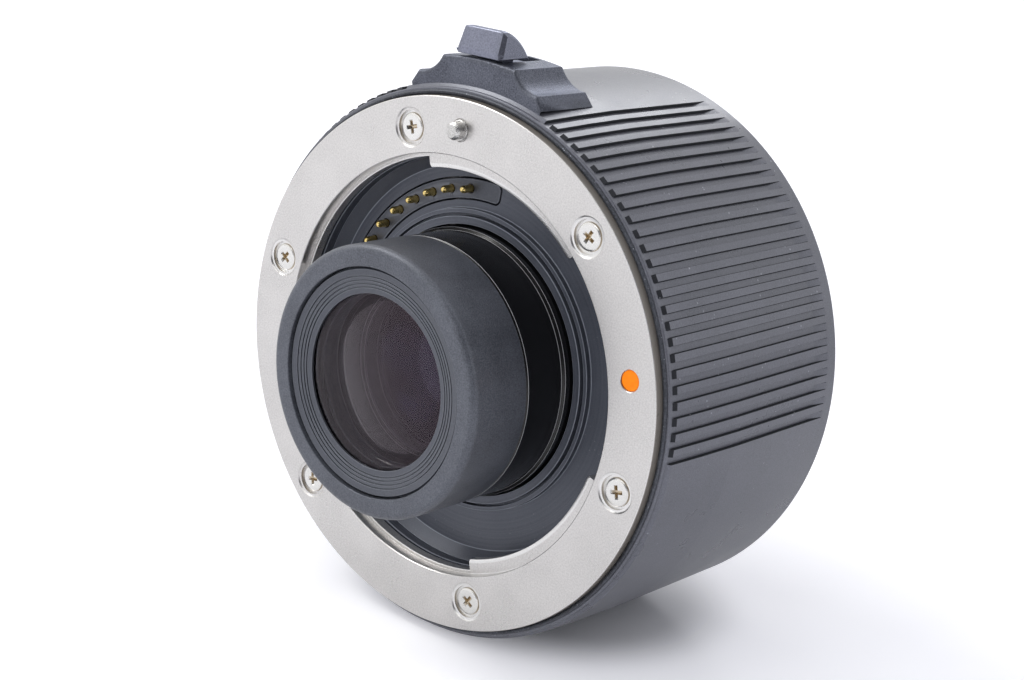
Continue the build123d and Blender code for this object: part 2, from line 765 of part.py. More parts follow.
# Front retaining ring: coned face with fine concentric grooves
with BuildPart() as front_retaining_ring:
    turned(
        (hood_front + retainer_fit, retainer_radius),
        (hood_front + retainer_slope, retainer_bore),
        (front_cell_front, retainer_bore),
        (front_cell_front, retainer_radius),
    )
    slope_rise = retainer_slope - retainer_fit
    slope_run = retainer_radius - retainer_bore
    for groove_number in range(retainer_groove_count):
        groove_share = (groove_number + 1) / (retainer_groove_count + 1)
        groove_radius = retainer_radius - slope_run * groove_share
        groove_front = hood_front + retainer_fit + slope_rise * groove_share
        tube_between(groove_front - overrun, groove_front + retainer_groove_depth,
                     groove_radius + retainer_groove_width / 2,
                     groove_radius - retainer_groove_width / 2, mode=Mode.SUBTRACT)
front_retaining_ring.part.label = "front_retaining_ring"
export_step(front_retaining_ring.part, "parts/front_retaining_ring.step")

# Front group tube: carries the hood on its nose and rests its shoulder on the carrier plate
with BuildPart() as front_group_tube:
    tube_front = hood_rear + assembly_gap
    cell_front = doublet_stop + doublet_stop_thickness
    nose_front = cell_front + element_4_edge
    turned(
        (hood_shelf, doublet_radius + glass_clearance),
        (hood_shelf, nose_radius),
        (tube_front, nose_radius),
        (tube_front, tube_radius - tube_front_chamfer),
        (tube_front + tube_front_chamfer, tube_radius),
        (tube_step, tube_radius),
        (tube_step + tube_step_height, tube_radius + tube_step_height),
        (tube_shoulder, tube_radius + tube_step_height),
        (tube_shoulder, tube_tail_radius),
        (tube_end, tube_tail_radius),
        (tube_end, thread_radius),
        (nose_front, thread_radius),
        (nose_front, inner_cell_radius + glass_clearance),
        (cell_front, inner_cell_radius + glass_clearance),
        (cell_front, doublet_stop_radius),
        (doublet_stop, doublet_stop_radius),
        (doublet_stop, doublet_radius + glass_clearance),
    )
front_group_tube.part.label = "front_group_tube"
export_step(front_group_tube.part, "parts/front_group_tube.step")

# Clamp ring: screws onto the tube's tail and pulls its shoulder against the carrier plate
with BuildPart() as tube_clamp_ring:
    tube_between(carrier_rear, carrier_rear + clamp_ring_thickness, clamp_ring_radius, tube_tail_radius)
    rods(carrier_rear + clamp_ring_thickness / 2, carrier_rear + clamp_ring_thickness,
         screw_shank_radius, (clamp_ring_radius + tube_tail_radius) / 2, [0, 180], mode=Mode.SUBTRACT)
tube_clamp_ring.part.label = "tube_clamp_ring"
export_step(tube_clamp_ring.part, "parts/tube_clamp_ring.step")

# Rear group tube: threads into the front tube and widens to the rear element
with BuildPart() as rear_group_tube:
    neck_bore = inner_cell_radius - rear_tube_wall / 2
    turned(
        (nose_front, neck_bore),
        (nose_front, thread_radius),
        (tube_end, thread_radius),
        (tube_end, tube_tail_radius),
        (rear_tube_flare, tube_tail_radius),
        (rear_tube_flare, rear_tube_radius),
        (rear_tube_end, rear_tube_radius),
        (rear_tube_end, rear_cell_radius + glass_clearance),
        (rear_cell_seat, rear_cell_radius + glass_clearance),
        (rear_cell_seat, rear_cell_radius - rear_cell_lip),
        (rear_tube_flare, neck_bore),
    )
rear_group_tube.part.label = "rear_group_tube"
export_step(rear_group_tube.part, "parts/rear_group_tube.step")

# Glass elements, each seated on its rim
with BuildPart() as lens_element_1:
    lens_solid(front_cell_front, front_cell_rear, element_1_front_curve, element_1_rear_curve,
               front_cell_radius - glass_clearance)
lens_element_1.part.label = "lens_element_1"
export_step(lens_element_1.part, "parts/lens_element_1.step")

pair_joint = doublet_stop - element_3_edge
pair_front = pair_joint - element_2_edge
with BuildPart() as lens_element_2:
    lens_solid(pair_front, pair_joint, doublet_front_curve, -doublet_joint_curve, doublet_radius)
lens_element_2.part.label = "lens_element_2"
export_step(lens_element_2.part, "parts/lens_element_2.step")

with BuildPart() as lens_element_3:
    lens_solid(pair_joint, doublet_stop, -doublet_joint_curve, -doublet_rear_curve, doublet_radius)
lens_element_3.part.label = "lens_element_3"
export_step(lens_element_3.part, "parts/lens_element_3.step")

with BuildPart() as lens_element_4:
    lens_solid(cell_front, nose_front, -element_4_curve, element_4_curve, inner_cell_radius)
lens_element_4.part.label = "lens_element_4"
export_step(lens_element_4.part, "parts/lens_element_4.step")

element_5_rear = rear_cell_seat + element_5_edge
with BuildPart() as lens_element_5:
    lens_solid(rear_cell_seat, element_5_rear, element_5_front_curve, -element_5_rear_curve,
               rear_cell_radius)
lens_element_5.part.label = "lens_element_5"
export_step(lens_element_5.part, "parts/lens_element_5.step")

# Spacer in front of the cemented pair, and the ring that holds the rear element
with BuildPart() as lens_spacer:
    tube_between(hood_shelf, pair_front, doublet_radius, doublet_stop_radius)
lens_spacer.part.label = "lens_spacer"
export_step(lens_spacer.part, "parts/lens_spacer.step")

with BuildPart() as rear_retaining_ring:
    tube_between(element_5_rear, element_5_rear + rear_retainer_thickness,
                 rear_cell_radius + glass_clearance, rear_cell_radius - rear_cell_lip)
rear_retaining_ring.part.label = "rear_retaining_ring"
export_step(rear_retaining_ring.part, "parts/rear_retaining_ring.step")

# Main board on the carrier's posts, with its chips and screws
board_rear = post_end + board_thickness
with BuildPart() as main_board:
    tube_between(post_end, board_rear, board_outer_radius, board_inner_radius)
    rods(post_end, board_rear, board_screw_shank_radius, post_circle_radius, post_angles,
         mode=Mode.SUBTRACT)
main_board.part.label = "main_board"
export_step(main_board.part, "parts/main_board.step")

chip_angles = [angle + 180 / carrier_screw_count for angle in post_angles]
with BuildPart() as board_chips:
    with BuildSketch(facing(board_rear)):
        for chip_angle in chip_angles:
            with Locations(at_clock(chip_circle_radius, chip_angle)):
                Rectangle(chip_side, chip_side, rotation=-chip_angle)
    extrude(amount=-chip_height)
board_chips.part.label = "board_chips"
export_step(board_chips.part, "parts/board_chips.step")

with BuildPart() as board_screws:
    rods(board_rear, board_rear + board_screw_head_height, board_screw_head_radius,
         post_circle_radius, post_angles)
    rods(post_end - board_screw_length, board_rear, board_screw_shank_radius, post_circle_radius,
         post_angles)
board_screws.part.label = "board_screws"
export_step(board_screws.part, "parts/board_screws.step")

# Camera mount ring: seat disc, bayonet tube and three lugs, with the blind lock hole
with BuildPart() as camera_mount_ring:
    turned(
        (camera_ring_seat, male_tube_bore),
        (camera_ring_seat, camera_ring_radius),
        (flange_to_flange - ring_edge_chamfer, camera_ring_radius),
        (flange_to_flange, camera_ring_radius - ring_edge_chamfer),
        (flange_to_flange, male_tube_radius),
        (camera_tube_end - edge_break, male_tube_radius),
        (camera_tube_end, male_tube_radius - edge_break),
        (camera_tube_end, male_tube_bore),
    )
    male_lug_y = flange_to_flange + male_lug_front
    for lug_angle in lug_angles:
        sector(male_lug_y, male_lug_y + male_lug_thickness, male_tube_bore + edge_break,
               male_lug_radius, lug_angle, male_lug_span_angle)
    rods(flange_to_flange - screw_head_recess - screw_head_height, flange_to_flange + overrun,
         screw_counterbore_radius, screw_circle_radius, camera_screw_angles, mode=Mode.SUBTRACT)
    rods(camera_ring_seat, flange_to_flange, screw_shank_radius, screw_circle_radius,
         camera_screw_angles, mode=Mode.SUBTRACT)
    rods(flange_to_flange - lock_hole_depth, flange_to_flange + overrun,
         lock_pin_radius + assembly_gap, screw_circle_radius, [0], mode=Mode.SUBTRACT)
    rods(flange_to_flange - dot_recess, flange_to_flange + overrun, dot_radius, screw_circle_radius,
         [lens_dot_angle + twist_to_lock_angle], mode=Mode.SUBTRACT)
camera_mount_ring.part.label = "camera_mount_ring"
export_step(camera_mount_ring.part, "parts/camera_mount_ring.step")

with BuildPart() as camera_mount_screws:
    rear_top = flange_to_flange - screw_head_recess
    rear_seat = rear_top - screw_head_height
    rods(rear_seat, rear_top, screw_head_radius, screw_circle_radius, camera_screw_angles)
    rods(chassis_rear_front, rear_seat, screw_shank_radius, screw_circle_radius, camera_screw_angles)
    cross_recess(rear_top, cross_depth, camera_screw_angles, -1)
camera_mount_screws.part.label = "camera_mount_screws"
export_step(camera_mount_screws.part, "parts/camera_mount_screws.step")

with BuildPart() as camera_index_dot:
    rods(flange_to_flange - dot_recess, flange_to_flange - dot_sink, dot_radius,
         screw_circle_radius, [lens_dot_angle + twist_to_lock_angle])
camera_index_dot.part.label = "camera_index_dot"
export_step(camera_index_dot.part, "parts/camera_index_dot.step")

# Rear baffle: cup inside the bayonet tube with a round-cornered picture window
rear_cup_floor = camera_ring_seat + rear_baffle_rim_thickness + rear_baffle_depth
with BuildPart() as rear_baffle:
    turned(
        (camera_ring_seat, rear_baffle_radius - rear_baffle_wall),
        (camera_ring_seat, rear_baffle_rim),
        (camera_ring_seat + rear_baffle_rim_thickness, rear_baffle_rim),
        (camera_ring_seat + rear_baffle_rim_thickness, rear_baffle_radius),
        (rear_cup_floor + rear_baffle_wall, rear_baffle_radius),
        (rear_cup_floor + rear_baffle_wall, 0),
        (rear_cup_floor, 0),
        (rear_cup_floor, rear_baffle_radius - rear_baffle_wall),
    )
    with BuildSketch(facing(rear_cup_floor - overrun)):
        RectangleRounded(aperture_width, aperture_height, aperture_corner)
    extrude(amount=-(rear_baffle_wall + 2 * overrun), mode=Mode.SUBTRACT)
rear_baffle.part.label = "rear_baffle"
export_step(rear_baffle.part, "parts/rear_baffle.step")

# Rear contact block and its flat gold pads
rear_block_front = camera_ring_seat + rear_baffle_rim_thickness
with BuildPart() as rear_contact_block:
    arc_bar(rear_block_front, pad_seat, contact_radius, rear_block_width, block_first, block_last,
            block_corner)
rear_contact_block.part.label = "rear_contact_block"
export_step(rear_contact_block.part, "parts/rear_contact_block.step")

with BuildPart() as rear_contact_pads:
    rods(pad_seat, pad_seat + pad_thickness, pad_radius, contact_radius, contact_angles)
rear_contact_pads.part.label = "rear_contact_pads"
export_step(rear_contact_pads.part, "parts/rear_contact_pads.step")

# Release housing: flat-topped hump with scooped flanks and leaning ends, seated on the barrel
housing_front = barrel_front + barrel_front_chamfer
housing_rear = housing_front + housing_length
with BuildPart() as release_housing:
    with BuildSketch(facing(housing_front)):
        with BuildLine():
            for side in (-1, 1):
                Line(at_clock(barrel_radius, side * housing_skirt_angle),
                     at_clock(housing_ridge_radius, side * housing_ridge_angle))
                ThreePointArc(at_clock(housing_ridge_radius, side * housing_ridge_angle),
                              at_clock(housing_scoop_radius, side * housing_scoop_angle),
                              at_clock(housing_top, side * housing_top_half_angle))
            ThreePointArc(at_clock(housing_top, -housing_top_half_angle), (0, housing_top),
                          at_clock(housing_top, housing_top_half_angle))
            ThreePointArc(at_clock(barrel_radius, -housing_skirt_angle), (0, barrel_radius),
                          at_clock(barrel_radius, housing_skirt_angle))
        make_face()
    extrude(amount=-housing_length)
    turned(
        (housing_front, barrel_radius - overrun),
        (housing_front, barrel_radius),
        (housing_front + housing_front_lean, housing_top + overrun),
        (housing_rear - housing_rear_lean, housing_top + overrun),
        (housing_rear, barrel_radius),
        (housing_rear, barrel_radius - overrun),
        mode=Mode.INTERSECT,
    )
    end_faces = release_housing.faces().sort_by(Axis.Y)
    rim_edges = (end_faces[0].edges() + end_faces[-1].edges()).filter_by(
        lambda edge: abs(off_axis(edge.center()) - barrel_radius) > housing_round)
    fillet(rim_edges, radius=housing_round)
    top_block(stem_slot_half_width, stem_slot_front, stem_slot_rear, barrel_radius - overrun,
              housing_top + overrun, mode=Mode.SUBTRACT)
    top_block(pocket_half_width, dust_plate_front - slide_clearance,
              dust_plate_rear + release_travel + slide_clearance, pocket_floor,
              housing_top + overrun, mode=Mode.SUBTRACT)
    radial_rods(housing_screw_y, housing_screw_shank_radius, barrel_radius - overrun,
                barrel_radius + housing_screw_bite, [-housing_screw_angle, housing_screw_angle],
                mode=Mode.SUBTRACT)
release_housing.part.label = "release_housing"
export_step(release_housing.part, "parts/release_housing.step")

with BuildPart() as release_housing_screws:
    head_seat = chassis_bore - bore_clearance
    radial_rods(housing_screw_y, housing_screw_head_radius, head_seat - housing_screw_head_height,
                head_seat, [-housing_screw_angle, housing_screw_angle])
    radial_rods(housing_screw_y, housing_screw_shank_radius, head_seat,
                barrel_radius + housing_screw_bite, [-housing_screw_angle, housing_screw_angle])
release_housing_screws.part.label = "release_housing_screws"
export_step(release_housing_screws.part, "parts/release_housing_screws.step")

# Release lever: leaning wedge with a front lip, bevelled sides and a stem down through the slots
with BuildPart() as release_lever:
    lever_rear = lever_front + lever_length
    lever_top = lever_underside + lever_height
    crest_front = lever_front + lever_lean
    crest_rear = crest_front + lever_crest
    back_run = lever_rear - crest_rear
    back_mid = (crest_rear + back_run * (1 / 2 + lever_back_bulge_share / 2),
                lever_underside + lever_height * (1 / 2 + lever_back_bulge_share / 2))
    with BuildSketch(Plane.YZ) as lever_side:
        with BuildLine():
            Polyline(
                (lever_rear, lever_underside),
                (lever_front, lever_underside),
                (lever_front, lever_underside + lever_lip),
                (crest_front, lever_top),
                (crest_rear, lever_top),
            )
            ThreePointArc((crest_rear, lever_top), back_mid, (lever_rear, lever_underside))
        make_face()
    extrude(lever_side.sketch, amount=lever_half_width, both=True)
    with BuildSketch(facing(lever_front)) as lever_face:
        with BuildLine():
            Polyline(
                (-lever_half_width, lever_underside),
                (lever_half_width, lever_underside),
                (lever_top_half_width, lever_top),
                (-lever_top_half_width, lever_top),
                close=True,
            )
        make_face()
    extrude(lever_face.sketch, amount=-lever_length, mode=Mode.INTERSECT)
    front_sides = release_lever.edges().filter_by(
        lambda edge: abs(edge.center().X) > lever_top_half_width - edge_break
        and lever_front + edge_break < edge.center().Y < crest_front
        and edge.center().Z > lever_underside + lever_lip)
    chamfer(front_sides, length=lever_bevel)
    crest_edges = release_lever.edges().filter_by(Axis.X).filter_by_position(
        Axis.Z, lever_top - edge_break, lever_top + edge_break)
    fillet(crest_edges, radius=lever_round)
    top_block(stem_half_width, stem_front, stem_rear, stem_low, lever_underside)
    rods(stem_front, stem_rear, lever_screw_shank_radius, screw_circle_radius, [0], mode=Mode.SUBTRACT)
release_lever.part.label = "release_lever"
export_step(release_lever.part, "parts/release_lever.step")

# Dust plate: rides on the stem in the housing's pocket and keeps the slot covered
with BuildPart() as dust_plate:
    top_block(dust_plate_half_width, dust_plate_front, dust_plate_rear, pocket_floor + bore_clearance,
              pocket_floor + bore_clearance + dust_plate_thickness)
    top_block(stem_half_width, stem_front, stem_rear, pocket_floor, housing_top, mode=Mode.SUBTRACT)
dust_plate.part.label = "dust_plate"
export_step(dust_plate.part, "parts/dust_plate.step")

with BuildPart() as lever_screw:
    rods(stem_rear, stem_rear + lever_screw_head_height, lever_screw_head_radius, screw_circle_radius, [0])
    rods(stem_front - lever_screw_bite, stem_rear, lever_screw_shank_radius, screw_circle_radius, [0])
lever_screw.part.label = "lever_screw"
export_step(lever_screw.part, "parts/lever_screw.step")

# Lock pin: bevelled nose on a stepped shank that is screwed to the front of the stem
with BuildPart() as lock_pin:
    rods(-lock_pin_stand_out, stem_front, lock_pin_radius, screw_circle_radius, [0])
    chamfer(lock_pin.faces().sort_by(Axis.Y)[0].edges(), length=lock_pin_bevel)
    rods(-lock_pin_step, stem_front, lock_pin_shank_radius, screw_circle_radius, [0])
    rods(stem_front - lever_screw_bite, stem_front, lever_screw_shank_radius, screw_circle_radius, [0],
         mode=Mode.SUBTRACT)
lock_pin.part.label = "lock_pin"
export_step(lock_pin.part, "parts/lock_pin.step")

# Lock spring: plain tube round the spigot, between the stem and the carrier plate
with BuildPart() as lock_spring:
    rods(stem_rear, carrier_front, lock_spring_radius, screw_circle_radius, [0])
    rods(stem_rear, carrier_front, lock_spring_radius - lock_spring_wire, screw_circle_radius, [0],
         mode=Mode.SUBTRACT)
lock_spring.part.label = "lock_spring"
export_step(lock_spring.part, "parts/lock_spring.step")
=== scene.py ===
"""Camera teleconverter on a pale studio floor.

The optical axis is Y, with y = 0 on the lens seat, the lens side towards -Y and +Z through the
release lever. A clock angle c is measured about the axis from +Z towards +X, in degrees. Shapes
are worked out in millimetres and put into the meshes in metres.
"""

import bmesh
import bpy
import numpy as np
from mathutils import Matrix, Vector


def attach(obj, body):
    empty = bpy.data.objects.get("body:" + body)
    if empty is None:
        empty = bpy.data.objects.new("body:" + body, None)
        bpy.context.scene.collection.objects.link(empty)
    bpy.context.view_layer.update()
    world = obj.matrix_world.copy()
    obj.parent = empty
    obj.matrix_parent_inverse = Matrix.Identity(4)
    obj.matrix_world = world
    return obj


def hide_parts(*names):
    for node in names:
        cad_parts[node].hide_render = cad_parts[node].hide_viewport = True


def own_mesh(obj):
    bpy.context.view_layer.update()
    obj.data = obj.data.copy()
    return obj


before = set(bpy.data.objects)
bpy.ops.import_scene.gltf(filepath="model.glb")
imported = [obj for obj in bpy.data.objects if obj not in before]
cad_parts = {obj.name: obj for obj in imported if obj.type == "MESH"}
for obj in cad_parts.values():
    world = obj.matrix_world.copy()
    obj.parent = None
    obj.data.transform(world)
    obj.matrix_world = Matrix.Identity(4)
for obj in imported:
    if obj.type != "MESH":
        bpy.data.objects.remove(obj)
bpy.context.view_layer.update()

MM = 0.001
BODY = "converter_body"
SLIDE = "release_slide"

# Places that several pieces share, in millimetres and degrees
barrel_radius = 40.0
screw_circle = 33.7
contact_circle = 24.55
contact_angles = -7.6 - 8.49 * np.arange(10)
block_ends = (5.2, -96.81)
lens_screw_angles = -16.2 + 60.0 * np.arange(6)
camera_screw_angles = 30.0 + 60.0 * np.arange(6)
lens_dot_angle = 77.2
camera_dot_angle = 137.2
lug_angles = 15.2 + 120.0 * np.arange(3)
flange_rear = 41.6
release_angle = -0.4
lever_foot = 43.65
floor_height = -40.0

# Bores of both mounts as (depth under the face, radius)
screw_bore = np.array([(-0.5, 0.0), (-0.5, 3.6), (0.1, 2.7), (0.16, 2.64), (0.2, 2.36),
                       (0.66, 2.3), (0.66, 1.76), (1.5, 1.76), (1.5, 0.0)])
dot_bore = np.array([(-0.5, 0.0), (-0.5, 1.55), (0.0, 1.55), (0.07, 1.48), (0.35, 1.48),
                     (0.35, 0.0)])


# Surfaces

def at_clock(radius, angle):
    """x = r sin c and z = r cos c for each clock angle c in degrees."""
    turn = np.radians(np.atleast_1d(angle))
    return np.stack((radius * np.sin(turn), radius * np.cos(turn)), -1)


def apart(first, second):
    """Clock angle from the second to the first, the short way round, in degrees."""
    return (first - second + 180) % 360 - 180


def net(rows, columns, rows_closed, columns_closed, copies=1):
    """Quads of a grid whose point (i, j) is number i * columns + j, once for each copy."""
    i = np.arange(rows if rows_closed else rows - 1)
    j = np.arange(columns if columns_closed else columns - 1)
    i, j = np.meshgrid(i, j, indexing="ij")
    below, beside = (i + 1) % rows, (j + 1) % columns
    corners = (i * columns + j, i * columns + beside, below * columns + beside, below * columns + j)
    quads = np.stack(corners, -1).reshape(-1, 4)
    starts = np.arange(copies)[:, None, None] * rows * columns
    return (starts + quads).reshape(-1, 4)


def tube_faces(rows, columns):
    """Quads of a tube whose rows are closed, and one face over each end."""
    first = list(range(columns))
    last = list(range((rows - 1) * columns, rows * columns))[::-1]
    return net(rows, columns, False, True).tolist() + [first, last]


def softened(outline, radius, steps=5):
    """Closed outline with an arc at each corner, and a last column that marks the arcs with 1.

    The arc touches the two sides r / tan(half corner angle) from the corner, or about a third of
    the shorter side from it if that is less. It is the rational quadratic curve on the two
    touching points and the corner, with the sine of the half angle as the corner's weight. One
    more point on each side, a little further out, keeps the flat side's shading flat. A corner
    that is nearly straight gets no mark.
    """
    most_of_side, guard, straight = 0.34, 1.35, 0.99
    outline = np.asarray(outline, float)
    to_before = np.roll(outline, 1, 0) - outline
    to_after = np.roll(outline, -1, 0) - outline
    before_length = np.linalg.norm(to_before[:, :2], axis=1)
    after_length = np.linalg.norm(to_after[:, :2], axis=1)
    cosine = (to_before[:, :2] * to_after[:, :2]).sum(1) / (before_length * after_length)
    half = np.arccos(np.clip(cosine, -1, 1)) / 2
    reach = np.minimum(radius / np.tan(half),
                       most_of_side * np.minimum(before_length, after_length))
    back = (reach / before_length)[:, None]
    on = (reach / after_length)[:, None]
    t = np.linspace(0, 1, steps)[None, :, None]
    weights = ((1 - t) ** 2, 2 * t * (1 - t) * np.sin(half)[:, None, None], t ** 2)
    stations = (outline + to_before * back, outline, outline + to_after * on)
    arc = sum(w * p[:, None] for w, p in zip(weights, stations)) / sum(weights)
    lead = outline + to_before * back * guard
    trail = outline + to_after * on * guard
    rows = np.concatenate((lead[:, None], arc, trail[:, None]), 1)
    mark = np.ones(rows.shape[:2])
    mark[:, (0, -1)] = 0
    mark *= (np.sin(half) < straight)[:, None]
    return np.concatenate((rows, mark[..., None]), -1).reshape(-1, outline.shape[1] + 1)


def turned(rows, count=240, centres=((0.0, 0.0),), closed=True):
    """Rows (y, r, mark) turned about lines along Y: x = cx + r sin c, z = cz + r cos c."""
    rows = np.asarray(rows, float)
    if rows.shape[1] == 2:
        rows = np.column_stack((rows, np.zeros(len(rows))))
    c = np.linspace(0, 2 * np.pi, count, endpoint=False)
    centres = np.asarray(centres, float)[:, None, None]
    y, r, mark = (rows[None, :, None, k] + 0 * c for k in range(3))
    x = centres[..., 0] + r * np.sin(c)
    z = centres[..., 1] + r * np.cos(c)
    shape = (centres.shape[0],) + x.shape[1:]
    grid = np.stack([np.broadcast_to(v, shape) for v in (x, y, z, mark)], -1)
    return grid.reshape(-1, 4), net(len(rows), count, closed, True, shape[0]).tolist()


def studs(rows, count, circle, angles):
    """Outline from axis to axis, turned about a line at each clock angle of a circle."""
    return turned(rows, count, at_clock(circle, angles), closed=False)


def turned_around(rows, angles, reduce, shade=None):
    """Rows (y, r, extra, mark) over given clock angles, r changed by reduce(y, r, extra, c).

    Where shade(y, r, c) isn't zero it takes the place of the edge mark; a negative value marks
    painted shade.
    """
    c = np.asarray(angles, float)[None]
    y, r, extra, mark = (rows[:, k, None] + 0 * c for k in range(4))
    if shade:
        dark = shade(y, r, c)
        mark = np.where(dark == 0, mark, dark)
    r = reduce(y, r, extra, c)
    turn = np.radians(c)
    grid = np.stack((r * np.sin(turn), y, r * np.cos(turn), mark), -1)
    return grid.reshape(-1, 4), net(len(rows), c.shape[1], True, True).tolist()


def block(low, high):
    """Box between two corners, as eight points and six faces."""
    corners = np.array([[(low, high)[i][0], (low, high)[j][1], (low, high)[k][2], 0.0]
                        for i in (0, 1) for j in (0, 1) for k in (0, 1)])
    faces = [[0, 1, 3, 2], [4, 6, 7, 5], [0, 4, 5, 1], [2, 3, 7, 6], [0, 2, 6, 4], [1, 5, 7, 3]]
    return corners, faces


def bar_outline(half_length, half_width, corner, inset, along=100, steps=6):
    """Rounded rectangle as (s, u), drawn inset all round; its long sides have many points."""
    flat_s = half_length - corner
    flat_u = half_width - corner
    left = corner - inset
    side = np.linspace(-flat_s, flat_s, along)
    arc = np.radians(np.linspace(90, 0, steps + 1)[1:-1])
    quarter = np.stack((left * np.cos(arc), left * np.sin(arc)), -1)
    top = np.stack((side, np.full(along, flat_u + left)), -1)
    first = quarter + (flat_s, flat_u)
    second = quarter[::-1] * (1, -1) + (flat_s, -flat_u)
    end = np.array([[flat_s + left, flat_u], [flat_s + left, -flat_u]])
    half = np.concatenate((top, first, end[:1], end[1:], second))
    return np.concatenate((half, -half))


def arc_bar(front, rear, radius, width, first, last, corner, edge):
    """Bar along a circle about the axis: c = middle + s / r0 and r = r0 + u, with round edges.

    Its rows run from the front face over a quarter circle of radius edge, along y, and over a
    second quarter circle to the rear face; the outline is drawn inset by the same quarter circle.
    """
    half_length = np.radians(abs(first - last)) * radius / 2
    turn = np.radians(np.linspace(0, 90, 5))
    inset = np.concatenate(([1.5 * edge], edge * (1 - np.sin(turn))))
    depth = np.concatenate(([0.0], edge * (1 - np.cos(turn))))
    insets = np.concatenate((inset, inset[::-1]))
    ys = np.concatenate((front + depth, (rear - depth)[::-1]))
    rows = np.stack([bar_outline(half_length, width / 2, corner, d) for d in insets])
    c = np.radians((first + last) / 2) + rows[..., 0] / radius
    r = radius + rows[..., 1]
    y = ys[:, None] + 0 * c
    mark = np.tile((insets > 0) & (insets <= edge), (c.shape[1], 1)).T.astype(float)
    grid = np.stack((r * np.sin(c), y, r * np.cos(c), mark), -1)
    return grid.reshape(-1, 4), tube_faces(len(ys), c.shape[1])


def coil(radius, wire, front, rear, turns, centre, steps=40, sides=10):
    """Wire round a line along Y: centre + (R sin t, y, R cos t), with the end turns closed up.

    Over the first and the last 0.8 turn, y grows by a wire's thickness a turn.
    """
    closed = 0.8
    t = np.linspace(0, 2 * np.pi * turns, int(steps * turns))
    turn = t / (2 * np.pi)
    share = np.clip((turn - closed) / (turns - 2 * closed), 0, 1)
    start, end = front + wire, rear - wire
    close = 2 * wire * np.clip(turn, 0, closed)
    close_end = 2 * wire * np.clip(turns - turn, 0, closed)
    free = end - start - 4 * closed * wire
    y = start + close + free * share + 2 * closed * wire - close_end
    f = np.linspace(0, 2 * np.pi, sides, endpoint=False)[None]
    r = radius + wire * np.cos(f)
    x = centre[0] + r * np.sin(t)[:, None]
    z = centre[1] + r * np.cos(t)[:, None]
    y = y[:, None] + wire * np.sin(f)
    grid = np.stack((x, y, z, 0 * x), -1)
    return grid.reshape(-1, 4), tube_faces(len(t), sides)


def gather(*parts):
    """Several surfaces as one list of points and one list of faces."""
    points, faces, start = [], [], 0
    for part_points, part_faces in parts:
        points.append(part_points)
        faces += [[start + index for index in face] for face in part_faces]
        start += len(part_points)
    return np.concatenate(points), faces


def mesh_object(name, surface):
    """Object at the origin with merged doubles, outward faces and its edge marks as a layer."""
    points, faces = surface
    mesh = bpy.data.meshes.new(name)
    mesh.from_pydata((points[:, :3] * MM).tolist(), [], faces)
    layer = mesh.attributes.new("edge", "FLOAT", "POINT")
    layer.data.foreach_set("value", points[:, 3].astype(np.float32))
    work = bmesh.new()
    work.from_mesh(mesh)
    bmesh.ops.remove_doubles(work, verts=work.verts, dist=3e-7)
    bmesh.ops.dissolve_degenerate(work, edges=work.edges, dist=1e-7)
    bmesh.ops.recalc_face_normals(work, faces=work.faces)
    work.to_mesh(mesh)
    work.free()
    thing = bpy.data.objects.new(name, mesh)
    bpy.context.scene.collection.objects.link(thing)
    return thing


def cut(thing, *surfaces):
    """The piece with these closed surfaces taken out of it."""
    for surface in surfaces:
        tool = mesh_object("cutting_tool", surface)
        step = thing.modifiers.new("cut", "BOOLEAN")
        step.operation = "DIFFERENCE"
        step.solver = "EXACT"
        step.object = tool
        shape = bpy.data.meshes.new_from_object(
            thing.evaluated_get(bpy.context.evaluated_depsgraph_get()))
        thing.modifiers.remove(step)
        old = thing.data
        thing.data = shape
        shape.name = thing.name
        bpy.data.meshes.remove(old)
        tool_mesh = tool.data
        bpy.data.objects.remove(tool)
        bpy.data.meshes.remove(tool_mesh)
    return thing


def finish(thing, nodes, material, body=BODY, crease=28):
    """Shade, dress and place a piece, and let it stand for its CAD nodes."""
    mesh = thing.data
    mesh.shade_smooth()
    mesh.set_sharp_from_angle(angle=np.radians(crease))
    mesh.materials.clear()
    mesh.materials.append(material)
    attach(thing, body)
    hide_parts(*nodes)
    return thing


# Shared effects

COLOUR = "NodeSocketColor"
VALUE = "NodeSocketFloat"
VECTOR = "NodeSocketVector"


def group(name, inputs, outputs):
    """Empty shader group with named sockets: its tree, its input sockets and its output node."""
    tree = bpy.data.node_groups.new(name, "ShaderNodeTree")
    for socket, (kind, value) in inputs.items():
        made = tree.interface.new_socket(socket, in_out="INPUT", socket_type=kind)
        if value is not None:
            made.default_value = value
    for socket, kind in outputs.items():
        tree.interface.new_socket(socket, in_out="OUTPUT", socket_type=kind)
    return tree, tree.nodes.new("NodeGroupInput").outputs, tree.nodes.new("NodeGroupOutput")


def feed(tree, made, values):
    """Link or set a node's inputs, by name or number: a socket is linked, a value is set."""
    for name, value in values.items():
        if isinstance(value, bpy.types.NodeSocket):
            tree.links.new(value, made.inputs[name])
        else:
            made.inputs[name].default_value = value


def node(tree, kind, values=None, **settings):
    """Shader node with its settings and what feeds its inputs."""
    made = tree.nodes.new(kind)
    for name, value in settings.items():
        setattr(made, name, value)
    feed(tree, made, values or {})
    return made


def solid(colour):
    """Colour of three numbers with full alpha."""
    return colour + (1.0,)


def mixed(tree, factor, low, high):
    """Colour mix; factor is a socket, low and high are sockets or colours."""
    mix = node(tree, "ShaderNodeMix", {"Factor": factor}, data_type="RGBA")
    for side, value in (("A", low), ("B", high)):
        socket = [s for s in mix.inputs if s.name == side and s.type == "RGBA"][0]
        if isinstance(value, tuple):
            socket.default_value = solid(value)
        else:
            tree.links.new(value, socket)
    return [s for s in mix.outputs if s.type == "RGBA"][0]


